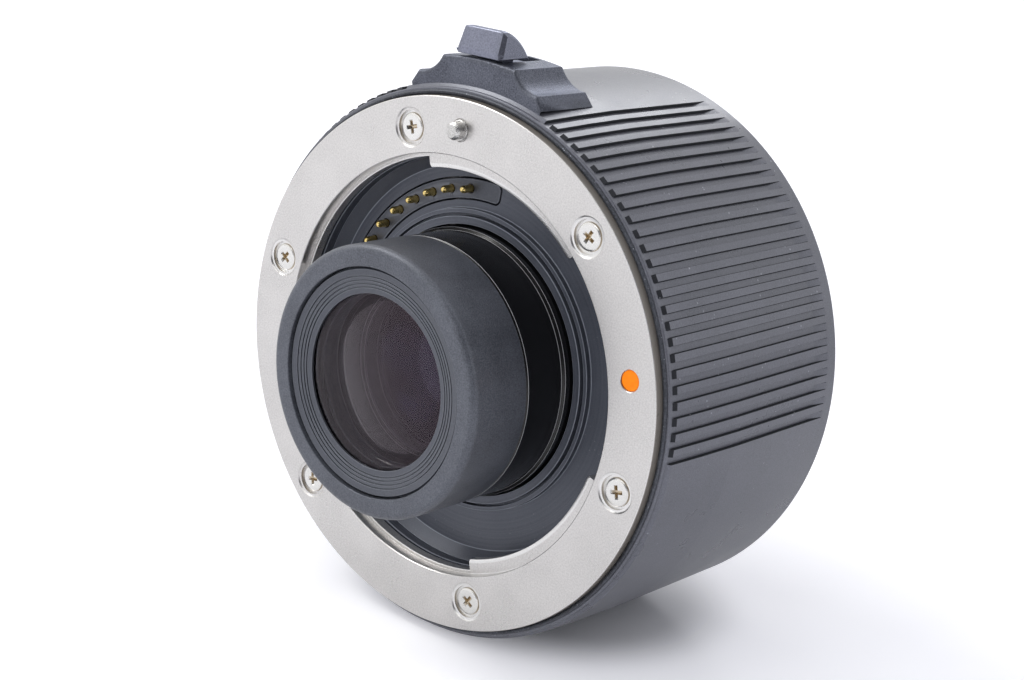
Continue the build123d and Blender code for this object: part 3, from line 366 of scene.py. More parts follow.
def ranged(tree, value, low, high, to_low=0.0, to_high=1.0, smooth=True):
    """Map a value from one range to another, held at both ends."""
    return node(tree, "ShaderNodeMapRange",
                {"Value": value, "From Min": low, "From Max": high, "To Min": to_low,
                 "To Max": to_high},
                interpolation_type="SMOOTHSTEP" if smooth else "LINEAR").outputs["Result"]


def math(tree, operation, first, second=0.0):
    """One step of arithmetic on sockets or numbers."""
    return node(tree, "ShaderNodeMath", {0: first, 1: second}, operation=operation).outputs[0]


def plus(tree, first, second):
    """Sum of two sockets or numbers."""
    return math(tree, "ADD", first, second)


def times(tree, first, second):
    """Product of two sockets or numbers."""
    return math(tree, "MULTIPLY", first, second)


def split(tree, vector):
    """Sockets X, Y and Z of a vector."""
    return node(tree, "ShaderNodeSeparateXYZ", {"Vector": vector}).outputs


def axis_distance(tree, parts):
    """Distance from the axis, sqrt(x^2 + z^2), of a split vector."""
    squares = [times(tree, parts[side], parts[side]) for side in ("X", "Z")]
    return math(tree, "SQRT", plus(tree, *squares))


def make_grain():
    """Fine cast or blasted grain: two sizes of noise, as a colour between two and a height."""
    tree, given, result = group(
        "fine_grain",
        {"Vector": (VECTOR, None), "Cells Per Metre": (VALUE, 4000.0),
         "Low Colour": (COLOUR, (0.01, 0.01, 0.01, 1)),
         "High Colour": (COLOUR, (0.03, 0.03, 0.03, 1))},
        {"Colour": COLOUR, "Height": VALUE, "Cloud": VALUE})
    fine = node(tree, "ShaderNodeTexNoise",
                {"Vector": given["Vector"], "Scale": given["Cells Per Metre"], "Detail": 2.0,
                 "Roughness": 0.6}).outputs["Fac"]
    cloud = node(tree, "ShaderNodeTexNoise",
                 {"Vector": given["Vector"], "Scale": 140.0, "Detail": 3.0,
                  "Roughness": 0.55}).outputs["Fac"]
    share = ranged(tree, fine, 0.3, 0.7, smooth=False)
    wide = ranged(tree, cloud, 0.3, 0.7)
    both = plus(tree, times(tree, share, 0.75), times(tree, wide, 0.25))
    colour = mixed(tree, both, given["Low Colour"], given["High Colour"])
    feed(tree, result, {"Colour": colour, "Height": fine, "Cloud": wide})
    return tree


def make_turned_lines():
    """Lathe marks: noise over the distance from the axis, r = sqrt(x^2 + z^2), plus y."""
    tree, given, result = group(
        "turned_lines", {"Vector": (VECTOR, None), "Lines Per Metre": (VALUE, 6000.0)},
        {"Height": VALUE, "Shade": VALUE})
    parts = split(tree, given["Vector"])
    reach = plus(tree, axis_distance(tree, parts), parts["Y"])
    line = node(tree, "ShaderNodeTexNoise",
                {"W": reach, "Scale": given["Lines Per Metre"], "Detail": 2.0, "Roughness": 0.7},
                noise_dimensions="1D").outputs["Fac"]
    feed(tree, result, {"Height": line, "Shade": ranged(tree, line, 0.3, 0.7)})
    return tree


def make_dust():
    """Settled dust: small cells kept where a wider noise is high, most on faces that look up."""
    tree, given, result = group(
        "settled_dust",
        {"Vector": (VECTOR, None), "Cells Per Metre": (VALUE, 900.0), "Amount": (VALUE, 0.3)},
        {"Mask": VALUE})
    cell = node(tree, "ShaderNodeTexVoronoi",
                {"Vector": given["Vector"], "Scale": given["Cells Per Metre"], "Randomness": 1.0},
                feature="F1").outputs["Distance"]
    patch = node(tree, "ShaderNodeTexNoise",
                 {"Vector": given["Vector"], "Scale": 350.0, "Detail": 4.0}).outputs["Fac"]
    up = split(tree, tree.nodes.new("ShaderNodeNewGeometry").outputs["Normal"])["Z"]
    speck = times(tree, ranged(tree, cell, 0.16, 0.05), ranged(tree, patch, 0.5, 0.62))
    mask = times(tree, speck, ranged(tree, up, -0.6, 0.8, 0.35, 1.0))
    feed(tree, result, {"Mask": times(tree, mask, given["Amount"])})
    return tree


grain = make_grain()
turned_lines = make_turned_lines()
dust = make_dust()


def use(tree, shared, coordinates, **values):
    """Place a shared effect in a material and feed it the piece's own coordinates."""
    named = {name.replace("_", " "): value for name, value in values.items()}
    return node(tree, "ShaderNodeGroup", {"Vector": coordinates, **named},
                node_tree=shared).outputs


def start_material(name):
    """New material: itself, its tree, its shader and the piece's own coordinates."""
    made = bpy.data.materials.new(name)
    made.use_nodes = True
    tree = made.node_tree
    place = tree.nodes.new("ShaderNodeTexCoord").outputs["Object"]
    return made, tree, tree.nodes["Principled BSDF"], place


def surface_finish(name, low, high, cells=4000.0, bump=0.02, roughness=(0.4, 0.5), metallic=0.0,
                   specular=0.5, edge_colour=None, edge_share=0.6, lines=0.0, line_bump=0.0,
                   dusty=0.0, dust_cells=900.0, dust_colour=(0.35, 0.37, 0.42), line_shade=0.0,
                   tint=None, gilt=None, rim=None, shadowed=False):
    """Opaque finish: grain colour, turning lines, painted edge light, dust, and a matching bump.

    With gilt, the colour turns to it with depth under the nearer mount face, the lesser of |y| and
    |41.6 mm - y|, so that a screw's cross recess shows its plating. With rim, the colour turns to
    another one, less metallic, between two distances from the axis: on the lens flange's outer side
    this dull brown-grey is painted shade. Shadowed paints shade: what has a negative edge mark
    turns black and rougher.
    """
    line_share, shadow_rise, dust_rise, rim_loss = 0.5, 0.5, 0.4, 0.85
    shadow_colour = (0.0006, 0.0006, 0.0006)
    gilt_depth = (0.34 * MM, 0.6 * MM)
    made, tree, shader, place = start_material(name)
    texture = use(tree, grain, place, Cells_Per_Metre=cells, Low_Colour=solid(low),
                  High_Colour=solid(high))
    colour, height = texture["Colour"], texture["Height"]
    rough = ranged(tree, texture["Cloud"], 0.0, 1.0, *roughness, smooth=False)
    if lines:
        turning = use(tree, turned_lines, place, Lines_Per_Metre=lines)
        if line_shade:
            lighter = tuple(min(1.0, v * (1 + line_shade)) for v in high)
            colour = mixed(tree, times(tree, turning["Shade"], line_share), colour, lighter)
        height = plus(tree, height, times(tree, turning["Height"], line_bump))
    if edge_colour or shadowed:
        edge = node(tree, "ShaderNodeAttribute", attribute_name="edge").outputs["Fac"]
    # Painted edge light: rounded edges take another colour, lighter for painted highlights on most
    # finishes and darker for painted shade on the lever's bevels.
    if edge_colour:
        painted_edge_light_share = ranged(tree, times(tree, edge, edge_share), 0.0, 1.0, smooth=False)
        colour = mixed(tree, painted_edge_light_share, colour, edge_colour)
    # Painted shade: a negative edge mark turns the colour black and rougher.
    if shadowed:
        painted_shade_mask = ranged(tree, edge, 0.0, -0.6)
        colour = mixed(tree, painted_shade_mask, colour, shadow_colour)
        rough = plus(tree, rough, times(tree, painted_shade_mask, shadow_rise))
    # Painted shade: the rim band turns a dull, less metallic colour.
    if rim:
        start, end, rim_shade_colour = rim
        outside = ranged(tree, axis_distance(tree, split(tree, place)), start * MM, end * MM)
        colour = mixed(tree, outside, colour, rim_shade_colour)
        bare = math(tree, "SUBTRACT", metallic, times(tree, outside, rim_loss))
        feed(tree, shader, {"Metallic": bare})
    if gilt:
        along = split(tree, place)["Y"]
        far = math(tree, "ABSOLUTE", math(tree, "SUBTRACT", along, flange_rear * MM))
        depth = math(tree, "MINIMUM", math(tree, "ABSOLUTE", along), far)
        colour = mixed(tree, ranged(tree, depth, *gilt_depth), colour, gilt)
    if dusty:
        specks = use(tree, dust, place, Cells_Per_Metre=dust_cells, Amount=dusty)["Mask"]
        colour = mixed(tree, specks, colour, dust_colour)
        rough = plus(tree, rough, times(tree, specks, dust_rise))
    bumped = node(tree, "ShaderNodeBump",
                  {"Height": height, "Strength": 1.0, "Distance": bump * MM})
    feed(tree, shader, {
        "Base Color": colour, "Roughness": rough, "Metallic": metallic,
        "Normal": bumped.outputs["Normal"], "Specular IOR Level": specular})
    if tint:
        shader.inputs["Specular Tint"].default_value = solid(tint)
    return made


def black_finish(name, low, high, **more):
    """Opaque finish with the cool reflection that the black pieces share."""
    return surface_finish(name, low, high, tint=(0.84, 0.88, 1.0), **more)


def metal_finish(name, low, high, **more):
    """Opaque finish of bare metal."""
    return surface_finish(name, low, high, metallic=1.0, **more)


def glass_finish(name, tint, reflection, level):
    """Coated glass that lets light through its tint, with a faint coloured reflection; its tint
    drifts over the surface.
    """
    made, tree, shader, place = start_material(name)
    lighter = tuple(min(1.0, v * 1.04) for v in tint)
    drift = use(tree, grain, place, Cells_Per_Metre=120.0, Low_Colour=solid(tint),
                High_Colour=solid(lighter))
    feed(tree, shader, {
        "Base Color": drift["Colour"], "Roughness": 0.0, "Transmission Weight": 1.0, "IOR": 1.6,
        "Specular IOR Level": level, "Specular Tint": solid(reflection)})
    return made


# The edge colours below are painted light: highlights on rounded edges, and shade on the lever's
# bevels.
barrel_finish = black_finish(
    "barrel_black_anodised", (0.062, 0.063, 0.074), (0.128, 0.130, 0.153), cells=5200, bump=0.010,
    roughness=(0.27, 0.33), specular=1.0, edge_colour=(0.10, 0.105, 0.12), edge_share=0.4,
    dusty=0.6, dust_colour=(0.6, 0.62, 0.66), shadowed=True)
# Its rim band paints shade on the lens flange's outer side.
steel_finish = metal_finish(
    "mount_satin_steel", (0.59, 0.575, 0.56), (0.80, 0.782, 0.767), cells=4200, bump=0.012,
    roughness=(0.26, 0.36), lines=3500.0, line_bump=0.10, edge_colour=(0.95, 0.945, 0.935),
    rim=(37.84, 37.91, (0.22, 0.20, 0.18)))
screw_finish = metal_finish(
    "screw_plated_steel", (0.76, 0.75, 0.72), (0.90, 0.89, 0.87), cells=6000, bump=0.006,
    roughness=(0.16, 0.26), edge_colour=(0.98, 0.97, 0.95), gilt=(0.60, 0.51, 0.38))
pin_finish = metal_finish(
    "pin_turned_steel", (0.46, 0.45, 0.44), (0.78, 0.77, 0.75), cells=5000, bump=0.05,
    roughness=(0.2, 0.3), lines=7000.0, line_bump=0.6, edge_colour=(0.95, 0.94, 0.92))
spring_finish = metal_finish(
    "spring_wire_steel", (0.42, 0.41, 0.40), (0.62, 0.61, 0.60), cells=3000, bump=0.004,
    roughness=(0.22, 0.3))
enamel_finish = surface_finish(
    "index_orange_enamel", (0.95, 0.205, 0.0), (1.0, 0.26, 0.0), cells=1500, bump=0.006,
    roughness=(0.3, 0.38), specular=0.25, edge_colour=(0.85, 0.16, 0.0), edge_share=0.4)
seal_finish = black_finish(
    "seal_black_rubber", (0.003, 0.0035, 0.005), (0.075, 0.080, 0.095), cells=4200, bump=0.05,
    specular=0.7, dusty=1.0, dust_cells=1700.0, dust_colour=(0.62, 0.66, 0.72))
baffle_finish = black_finish(
    "baffle_matt_black", (0.026, 0.029, 0.038), (0.062, 0.068, 0.086), cells=5200,
    roughness=(0.36, 0.46), specular=1.0, lines=2000.0, line_bump=0.25, line_shade=0.25,
    edge_colour=(0.30, 0.32, 0.37), dusty=0.6, dust_cells=1300.0)
block_finish = black_finish(
    "block_black_moulding", (0.026, 0.028, 0.034), (0.052, 0.055, 0.066), cells=3500, bump=0.012,
    roughness=(0.32, 0.42), specular=0.9, edge_colour=(0.22, 0.23, 0.26), edge_share=0.5,
    dusty=0.5, dust_cells=1500.0)
gold_finish = metal_finish(
    "contact_gold_plate", (0.86, 0.63, 0.20), (0.98, 0.80, 0.36), bump=0.003,
    roughness=(0.2, 0.28))
hood_finish = black_finish(
    "hood_matt_texture", (0.014, 0.0155, 0.020), (0.100, 0.107, 0.127), cells=5200, bump=0.055,
    roughness=(0.34, 0.44), specular=1.0, dusty=0.7, dust_cells=2400.0,
    dust_colour=(0.32, 0.33, 0.36))
retainer_finish = black_finish(
    "retainer_matt_black", (0.022, 0.024, 0.030), (0.058, 0.062, 0.075), cells=4600, bump=0.015,
    roughness=(0.34, 0.44), specular=1.0, edge_colour=(0.17, 0.18, 0.20), dusty=0.6,
    dust_cells=1700.0)
tube_finish = surface_finish(
    "tube_gloss_black", (0.003, 0.003, 0.0035), (0.007, 0.007, 0.008), cells=3000, bump=0.003,
    roughness=(0.2, 0.26), edge_colour=(0.6, 0.61, 0.64), edge_share=0.8, lines=4000.0,
    line_bump=0.3)
inner_finish = surface_finish(
    "inner_black_thread", (0.022, 0.020, 0.0195), (0.046, 0.0425, 0.042), cells=1500, bump=0.0,
    roughness=(0.6, 0.7), specular=0.2, edge_colour=(0.36, 0.35, 0.37))
glass_front = glass_finish("glass_front_coated", (0.90, 0.89, 0.905), (0.36, 0.27, 0.34), 0.06)
# The inner lenses' grey tint and dim reflection are painted shade: they darken the view into the
# barrel.
glass_inner = glass_finish("glass_inner_coated_painted_shade", (0.50, 0.485, 0.49), (0.14, 0.14, 0.28), 0.01)
housing_finish = black_finish(
    "housing_texture_paint", (0.035, 0.0375, 0.048), (0.165, 0.175, 0.215), cells=4800, bump=0.07,
    roughness=(0.26, 0.34), metallic=0.6, edge_colour=(0.10, 0.105, 0.12), edge_share=0.3,
    dusty=0.4)
lever_finish = black_finish(
    "lever_satin_moulding", (0.16, 0.168, 0.215), (0.28, 0.292, 0.365), cells=4200, bump=0.022,
    roughness=(0.26, 0.34), metallic=0.75, edge_colour=(0.12, 0.125, 0.14), edge_share=0.35,
    dusty=0.5)
alloy_finish = metal_finish(
    "chassis_machined_alloy", (0.50, 0.50, 0.51), (0.66, 0.66, 0.67), cells=3000, bump=0.01,
    roughness=(0.34, 0.44), lines=3500.0, line_bump=1.0)
flex_finish = surface_finish(
    "flex_amber_film", (0.33, 0.14, 0.03), (0.5, 0.25, 0.06), cells=1200, bump=0.004,
    roughness=(0.3, 0.42))
board_finish = surface_finish(
    "board_green_lacquer", (0.008, 0.07, 0.03), (0.02, 0.13, 0.06), cells=900, bump=0.01,
    roughness=(0.28, 0.4))
chip_finish = surface_finish(
    "chip_black_moulding", (0.012, 0.012, 0.012), (0.028, 0.028, 0.028), cells=5000, bump=0.01,
    roughness=(0.5, 0.62), specular=0.45)


# Barrel

def stem_slot(low, high):
    """Block of the slot that the lever's stem slides in, between two heights."""
    return block((-2.45, 4.15, low), (2.45, 9.05, high))


def make_barrel():
    """Turned barrel with raised grip ribs between axial grooves that run out through its front.

    Its outside radius is R(y) - 0.45 * rest(y) * groove(c). R(y) grows from 39.5 behind the front
    chamfer to 40 at y = 16. The rest falls from 1 to 0 between y = 35.0 and 37.7, and a groove's
    wall falls smoothly from 1 to 0 from 0.47 to 0.55 mm either side of its middle. Walls and,
    between clock angles 19 and 93.5 degrees, the ribs' front chamfers carry the mark -1, which the
    finish
    turns black: painted shade in the grooves and a painted dark reflection on the chamfers.
    """
    half_width, wall_width, depth = 0.55, 0.08, 0.45
    chamfer_start, chamfer_end, chamfer_foot = 1.9, 2.35, 39.05
    run_out, run_out_length = 35.0, 2.7
    sides = 19.54 + 3.057 * np.arange(25)
    grooves = np.concatenate((sides, -sides))
    across = np.array([0.66, 0.56, half_width, 0.525, 0.495, 0.47, 0.45, 0.15])
    across = np.degrees(np.concatenate((across, -across)) / barrel_radius)
    fine = (grooves[:, None] + across).ravel()
    plain = np.arange(-180, 180, 1.0)
    clear = np.abs(plain[:, None] - grooves).min(1) > 1.05
    angles = np.unique(np.round(np.concatenate((fine, plain[clear])) % 360, 5))
    level = [(y, barrel_radius) for y in (16.0, 34.6, 35.0, 35.4, 35.8, 36.2, 36.6, 37.0, 37.4,
                                          37.7, 38.1, 39.7)]
    outline = [(1.4, 38.2), (1.4, 38.9), (1.55, 39.03), (chamfer_start, chamfer_foot),
               (chamfer_end, 39.5), (2.6, 39.51), (9.0, 39.8), *level, (40.6, 39.1), (40.6, 37.8),
               (2.6, 37.8), (2.6, 38.2)]
    rows = softened(np.column_stack((outline, np.zeros(len(outline)))), 0.05, 3)

    def offset(c):
        nearest = np.abs(apart(c[..., None], grooves)).min(-1)
        return np.radians(nearest) * barrel_radius

    def groove(y, r, extra, c):
        wall = np.clip((half_width - offset(c)) / wall_width, 0, 1)
        wall = wall * wall * (3 - 2 * wall)
        full = np.interp(y, (chamfer_start, chamfer_end, 9.0, 16.0),
                         (chamfer_foot, 39.5, 39.8, barrel_radius))
        floor = full - depth * (1 - np.clip((y - run_out) / run_out_length, 0, 1))
        floor = np.where(y < chamfer_end, chamfer_foot, floor)
        return r - np.where((r > 39.0) & (y < 39.0), np.maximum(0, r - floor), 0) * wall

    # Painted shade: groove walls, and the rib chamfers between clock 19 and 93.5 degrees as a
    # painted dark reflection, are marked -1 and turn black.
    def shade(y, r, c):
        off, clock = offset(c), np.abs(apart(c, 0.0))
        in_wall = (off < 0.552) & (off > 0.455) & (y > 1.92) & (y < 37.6)
        facet = (off > 0.54) & (y > 1.91) & (y < 2.37) & (clock > 19) & (clock < 93.5)
        return np.where((in_wall | facet) & (r > 39.055), -1.0, 0.0)

    piece = mesh_object("outer_barrel_turned", turned_around(rows, angles, groove, shade))
    cut(piece, stem_slot(30.0, 42.0))
    return finish(piece, ["outer_barrel"], barrel_finish)


# Lens mount

def lug_profile(c, half_span, step, tip_radius):
    """Share of a lug's full reach at clock angle c: 0 between lugs, 1 on them, round at the tips.

    Within 0.35 mm of a lug's end it is step - 0.35 + sqrt(0.35^2 - (0.35 - s)^2) over the step,
    with s the distance from the end along the tip's circle.
    """
    corner = 0.35
    away = np.abs(apart(c[..., None], lug_angles)).min(-1)
    inside = np.radians(half_span - away) * tip_radius
    left = corner - np.clip(inside, 0, corner)
    rounded = step - corner + np.sqrt(np.clip(corner ** 2 - left ** 2, 0, None))
    return np.where(inside < -0.001, 0.0, rounded / step)


def lug_columns(half_span, tip_radius):
    """Clock angles with close columns at the ends of the lugs."""
    near = np.array([-0.4, -0.05, -0.0015, 0.0, 0.01, 0.03, 0.07, 0.13, 0.2, 0.28, 0.35, 0.5])
    near = np.degrees(near / tip_radius)
    ends = (lug_angles[:, None] + np.array([half_span, -half_span])).ravel()
    signs = np.tile([-1, 1], 3)
    fine = (ends[:, None] + signs[:, None] * near).ravel()
    plain = np.arange(0, 360, 1.5)
    clear = np.abs(apart(plain[:, None], ends)).min(1) > 1.3
    return np.unique(np.round(np.concatenate((fine, plain[clear])) % 360, 6))


def mount_ring(name, rows, lug, bores):
    """Bayonet ring with three lugs and its bores: its radius is r + extra * lug(c).

    A lug is its half span in degrees, its step and its tip radius. Each bore is its outline and
    its clock angles.
    """
    half_span, step, tip_radius = lug

    def reach(y, r, extra, c):
        return r + extra * lug_profile(c, half_span, step, tip_radius)

    piece = mesh_object(name, turned_around(rows, lug_columns(half_span, tip_radius), reach))
    return cut(piece, *(studs(outline, 64, screw_circle, angles) for outline, angles in bores))


def make_lens_mount():
    """Female bayonet ring: flat flange, throat with a land, and three lugs set back from the face.

    The land's radius is 29.45 - 1.55 * lug(c) between y = 1.7 and 3.2.
    """
    outline = [(0.0, 30.12, 0), (0.0, 37.8, 0), (0.12, 37.92, 0), (2.6, 37.92, 0), (2.6, 31.0, 0),
               (3.2, 31.0, 0), (3.2, 29.45, -1.55), (1.7, 29.45, -1.55), (1.7, 30.0, 0),
               (0.12, 30.0, 0)]
    radii = np.array([0.05, 0.05, 0.05, 0.05, 0.05, 0.08, 0.12, 0.12, 0.03, 0.05])
    pin_hole = [(-0.5, 0.0), (-0.5, 1.62), (0.0, 1.62), (0.07, 1.55), (2.9, 1.55), (2.9, 0.0)]
    piece = mount_ring("lens_mount_ring_turned", softened(outline, radii), (28.75, 1.55, 27.9),
                       ((screw_bore, lens_screw_angles), (dot_bore, lens_dot_angle),
                        (pin_hole, release_angle)))
    return finish(piece, ["lens_mount_ring"], steel_finish)


def cross_cutter(top, depth, centres, side):
    """Plus-shaped recess that tapers to its floor: arms 1.0 mm long and 0.56 mm wide.

    The outline is the twelve corners of a plus, shrunk to 45 percent over the recess's depth;
    side is 1 where the recess runs towards +Y.
    """
    long, wide = 1.0, 0.28
    plus = np.array([(wide, long), (wide, wide), (long, wide), (long, -wide), (wide, -wide),
                     (wide, -long), (-wide, -long), (-wide, -wide), (-long, -wide), (-long, wide),
                     (-wide, wide), (-wide, long)])
    shares = np.array([1.25, 1.0, 0.45])
    ys = top + side * np.array([-0.3, 0.0, depth])
    ring = plus[None] * shares[:, None, None]
    turns = np.radians(17.0 + 43.0 * np.arange(len(centres)))
    rotate = np.stack((np.stack((np.cos(turns), -np.sin(turns)), -1),
                       np.stack((np.sin(turns), np.cos(turns)), -1)), -2)
    spun = np.einsum("nij,rkj->nrki", rotate, ring) + np.asarray(centres)[:, None, None]
    y = np.broadcast_to(ys[None, :, None], spun.shape[:3])
    grid = np.stack((spun[..., 0], y, spun[..., 1], 0 * y), -1)
    count = len(plus)
    size = len(shares) * count
    faces = net(len(shares), count, False, True, len(centres)).tolist()
    for start in range(0, len(centres) * size, size):
        faces.append(list(range(start, start + count)))
        faces.append(list(range(start + size - count, start + size))[::-1])
    return grid.reshape(-1, 4), faces


def make_screws(name, nodes, top, side, angles, shank_end):
    """Low pan heads with a tapered cross recess; each head is a turned outline with a round rim."""
    head = top + side * np.array([0.0, 0.0, 0.0, 0.03, 0.12, 0.3, 1.2, 1.2])
    rim = np.array([0.0, 1.3, 1.6, 1.75, 1.92, 2.0, 2.0, 0.9])
    rows = np.stack((head, rim), -1)
    rows = np.concatenate((rows, [(shank_end, 0.9), (shank_end, 0.0)]))
    centres = at_clock(screw_circle, angles)
    piece = mesh_object(name, turned(rows, 72, centres, closed=False))
    recess = 0.55
    cut(piece, cross_cutter(top, recess, centres, side))
    return finish(piece, nodes, screw_finish)


def make_dot(name, nodes, face, side, angle):
    """Enamel disc with a slightly crowned face: y falls by the square of r towards the rim."""
    radius, fall, thickness = 1.45, 0.05, 0.23
    r = np.linspace(0, 1.36, 14)
    crown = face + side * fall * (r / radius) ** 2
    rear = face + side * thickness
    rows = np.concatenate((np.stack((crown, r), -1),
                           [(face + side * 0.1, 1.43), (rear, radius), (rear, 0.0)]))
    piece = mesh_object(name, studs(rows, 72, screw_circle, angle))
    return finish(piece, nodes, enamel_finish, crease=60)


def make_seal():
    """Rubber seal with a soft chamfered lip in front of the barrel's face."""
    outline = [(1.3, 37.95), (1.3, 38.02), (1.08, 38.2), (1.02, 38.45), (1.15, 38.62), (1.4, 38.7),
               (1.4, 38.15), (2.6, 38.15), (2.6, 37.95)]
    piece = mesh_object("front_seal_ring_moulded", turned(softened(outline, 0.06), 300))
    return finish(piece, ["front_seal_ring"], seal_finish, crease=60)


# Front baffle, contacts

def make_baffle():
    """Light baffle: coned wall, flat floor and two thin ridges round its hole."""
    outline = [(3.6, 29.4), (3.6, 30.3), (11.7, 30.3), (11.7, 28.9), (8.1, 28.9), (8.1, 19.6),
               (5.7, 19.6), (5.7, 20.75), (6.9, 20.75), (6.9, 21.2), (5.95, 21.2), (5.95, 21.8),
               (6.9, 21.8), (6.9, 27.9), (5.2, 29.4)]
    radii = np.array([0.1, 0.1, 0.1, 0.1, 0.1, 0.08, 0.09, 0.09, 0.04, 0.04, 0.07, 0.07, 0.1, 0.15,
                      0.1])
    piece = mesh_object("front_baffle_turned", turned(softened(outline, radii), 300))
    play = np.degrees(0.25 / contact_circle)
    cut(piece, arc_bar(6.0, 8.6, contact_circle, 3.3, block_ends[0] + play, block_ends[1] - play,
                       1.05, 0.01))
    return finish(piece, ["front_baffle"], baffle_finish)


def make_contact_block():
    """Arc moulding with a clear bore round each pin."""
    piece = mesh_object("front_contact_block_moulded",
                        arc_bar(6.8, 11.5, contact_circle, 2.8, *block_ends, 0.8, 0.12))
    bore = [(6.0, 0.0), (6.0, 0.74), (6.8, 0.74), (6.9, 0.62), (7.9, 0.62), (7.9, 0.9), (12.0, 0.9),
            (12.0, 0.0)]
    cut(piece, studs(bore, 40, contact_circle, contact_angles))
    return finish(piece, ["front_contact_block"], block_finish)


def make_pins():
    """Domed pins with a collar, each on its own body, and a coil spring behind each one.

    The tip is half an ellipse: y = 4.85 + 0.5 (1 - cos t), r = 0.55 sin t.
    """
    nose, height, radius = 4.85, 0.5, 0.55
    t = np.radians(np.linspace(0, 90, 10))
    tip = np.stack((nose + height * (1 - np.cos(t)), radius * np.sin(t)), -1)
    foot = [(7.86, radius), (7.9, 0.6), (7.9, 0.76), (7.94, 0.8), (8.46, 0.8), (8.5, 0.76),
            (8.5, 0.0)]
    rows = np.concatenate((tip, foot))
    for number, angle in enumerate(contact_angles, start=1):
        centre = at_clock(contact_circle, angle)
        body = f"contact_pin_{number:02d}"
        piece = mesh_object(f"{body}_turned", turned(rows, 40, centre, closed=False))
        finish(piece, [body], gold_finish, body=body)
        spring = mesh_object(f"contact_spring_{number:02d}_wound",
                             coil(0.7, 0.1, 8.5, 11.5, 6, centre[0], 28, 8))
        finish(spring, [f"contact_spring_{number:02d}"], spring_finish, crease=60)
        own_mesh(spring)


# Optical barrel and glass

def make_hood():
    """Textured hood, rounded 1.5 mm at its front edge."""
    outline = [(-13.8, 15.95), (-13.8, 18.95), (-3.3, 18.95), (-3.1, 18.75), (-3.1, 16.8),
               (-6.8, 16.8), (-6.8, 12.0), (-8.2, 12.0), (-8.2, 13.35), (-12.4, 13.35),
               (-12.4, 15.95)]
    radii = np.array([0.15, 1.5] + [0.06] * 9)
    piece = mesh_object("front_hood_turned", turned(softened(outline, radii, 9), 300))
    return finish(piece, ["front_hood"], hood_finish)


def make_retainer():
    """Coned ring; its face falls 0.6 mm inwards over 3.35 mm and carries four narrow grooves."""
    fall, width, half, depth = 0.6, 3.35, 0.1, 0.25
    share = np.array([0.286, 0.448, 0.60, 0.735])
    middle_r = 15.55 - width * share
    front = -13.35 + fall * share
    slope = fall / width * half
    grooves = np.stack((np.stack((front - slope, middle_r + half), -1),
                        np.stack((front + depth, middle_r + half), -1),
                        np.stack((front + depth, middle_r - half), -1),
                        np.stack((front + slope, middle_r - half), -1)), 1).reshape(-1, 2)
    outline = np.concatenate(([(-13.35, 15.55)], grooves,
                              [(-12.75, 12.2), (-12.4, 12.2), (-12.4, 15.75), (-13.1, 15.75)]))
    piece = mesh_object("front_retaining_ring_turned", turned(softened(outline, 0.05, 4), 300))
    return finish(piece, ["front_retaining_ring"], retainer_finish)


def make_front_tube():
    """Gloss tube: thin nose in the hood, front chamfer made bright by a painted highlight on its
    rounded edges, a step, and a plain tail.
    """
    outline = [(-6.8, 13.55), (-6.8, 16.75), (-3.0, 16.75), (-3.0, 18.65), (-2.75, 18.9),
               (4.1, 18.9), (4.5, 19.3), (11.7, 19.3), (11.7, 17.4), (17.0, 17.4), (17.0, 14.6),
               (11.5, 14.6), (11.5, 12.95), (7.3, 12.95), (7.3, 12.4), (6.0, 12.4), (6.0, 13.55)]
    piece = mesh_object("front_group_tube_turned", turned(softened(outline, 0.06), 300))
    return finish(piece, ["front_group_tube"], tube_finish)


def make_plain_ring(node_name, outline, material):
    """Turned ring with small round edges."""
    piece = mesh_object(f"{node_name}_turned", turned(softened(outline, 0.06), 240))
    return finish(piece, [node_name], material)


def make_glass(node_name, front_rim, rear_rim, front_curve, rear_curve, radius, material, shift):
    """Lens: each face is y = rim - sign(C) (sqrt(C^2 - r^2) - sqrt(C^2 - a^2)), flat past r = a.

    C is the face's radius of curvature and a is 1.15 mm less than the lens's own radius. The
    shift moves the front face along y.
    """
    a = radius - 1.15
    chamfer = 0.12
    r = np.linspace(0, a, 40)

    def face(rim, curve):
        size = abs(curve)
        return rim - np.sign(curve) * (np.sqrt(size ** 2 - r ** 2) - np.sqrt(size ** 2 - a ** 2))

    front = np.stack((face(front_rim, front_curve) + shift, r), -1)
    rear = np.stack((face(rear_rim, rear_curve), r), -1)[::-1]
    rim = [(front_rim + shift, radius - chamfer), (front_rim + shift + chamfer, radius),
           (rear_rim - chamfer, radius), (rear_rim, radius - chamfer)]
    rows = np.concatenate((front, rim, rear))
    piece = mesh_object(f"{node_name}_polished", turned(rows, 160, closed=False))
    return finish(piece, [node_name], material, crease=12)


# Release housing, lever, lock pin

def circle_through(p, q, s, count):
    """Arc through three points of a plane, count points from the first to the last."""
    p, q, s = (complex(*v) for v in (p, q, s))
    w = (s - p) / (q - p)
    centre = (q - p) * (w - abs(w) ** 2) / (2j * w.imag) + p
    radius = abs(p - centre)
    first, last = np.angle(p - centre), np.angle(s - centre)
    last = first + (last - first + np.pi) % (2 * np.pi) - np.pi
    t = np.linspace(first, last, count)
    return np.stack((centre.real + radius * np.cos(t), centre.imag + radius * np.sin(t)), -1)


def turn_about_axis(angle):
    """Matrix that turns rows (x, z) by a clock angle in degrees."""
    t = np.radians(angle)
    return np.array([[np.cos(t), -np.sin(t)], [np.sin(t), np.cos(t)]])


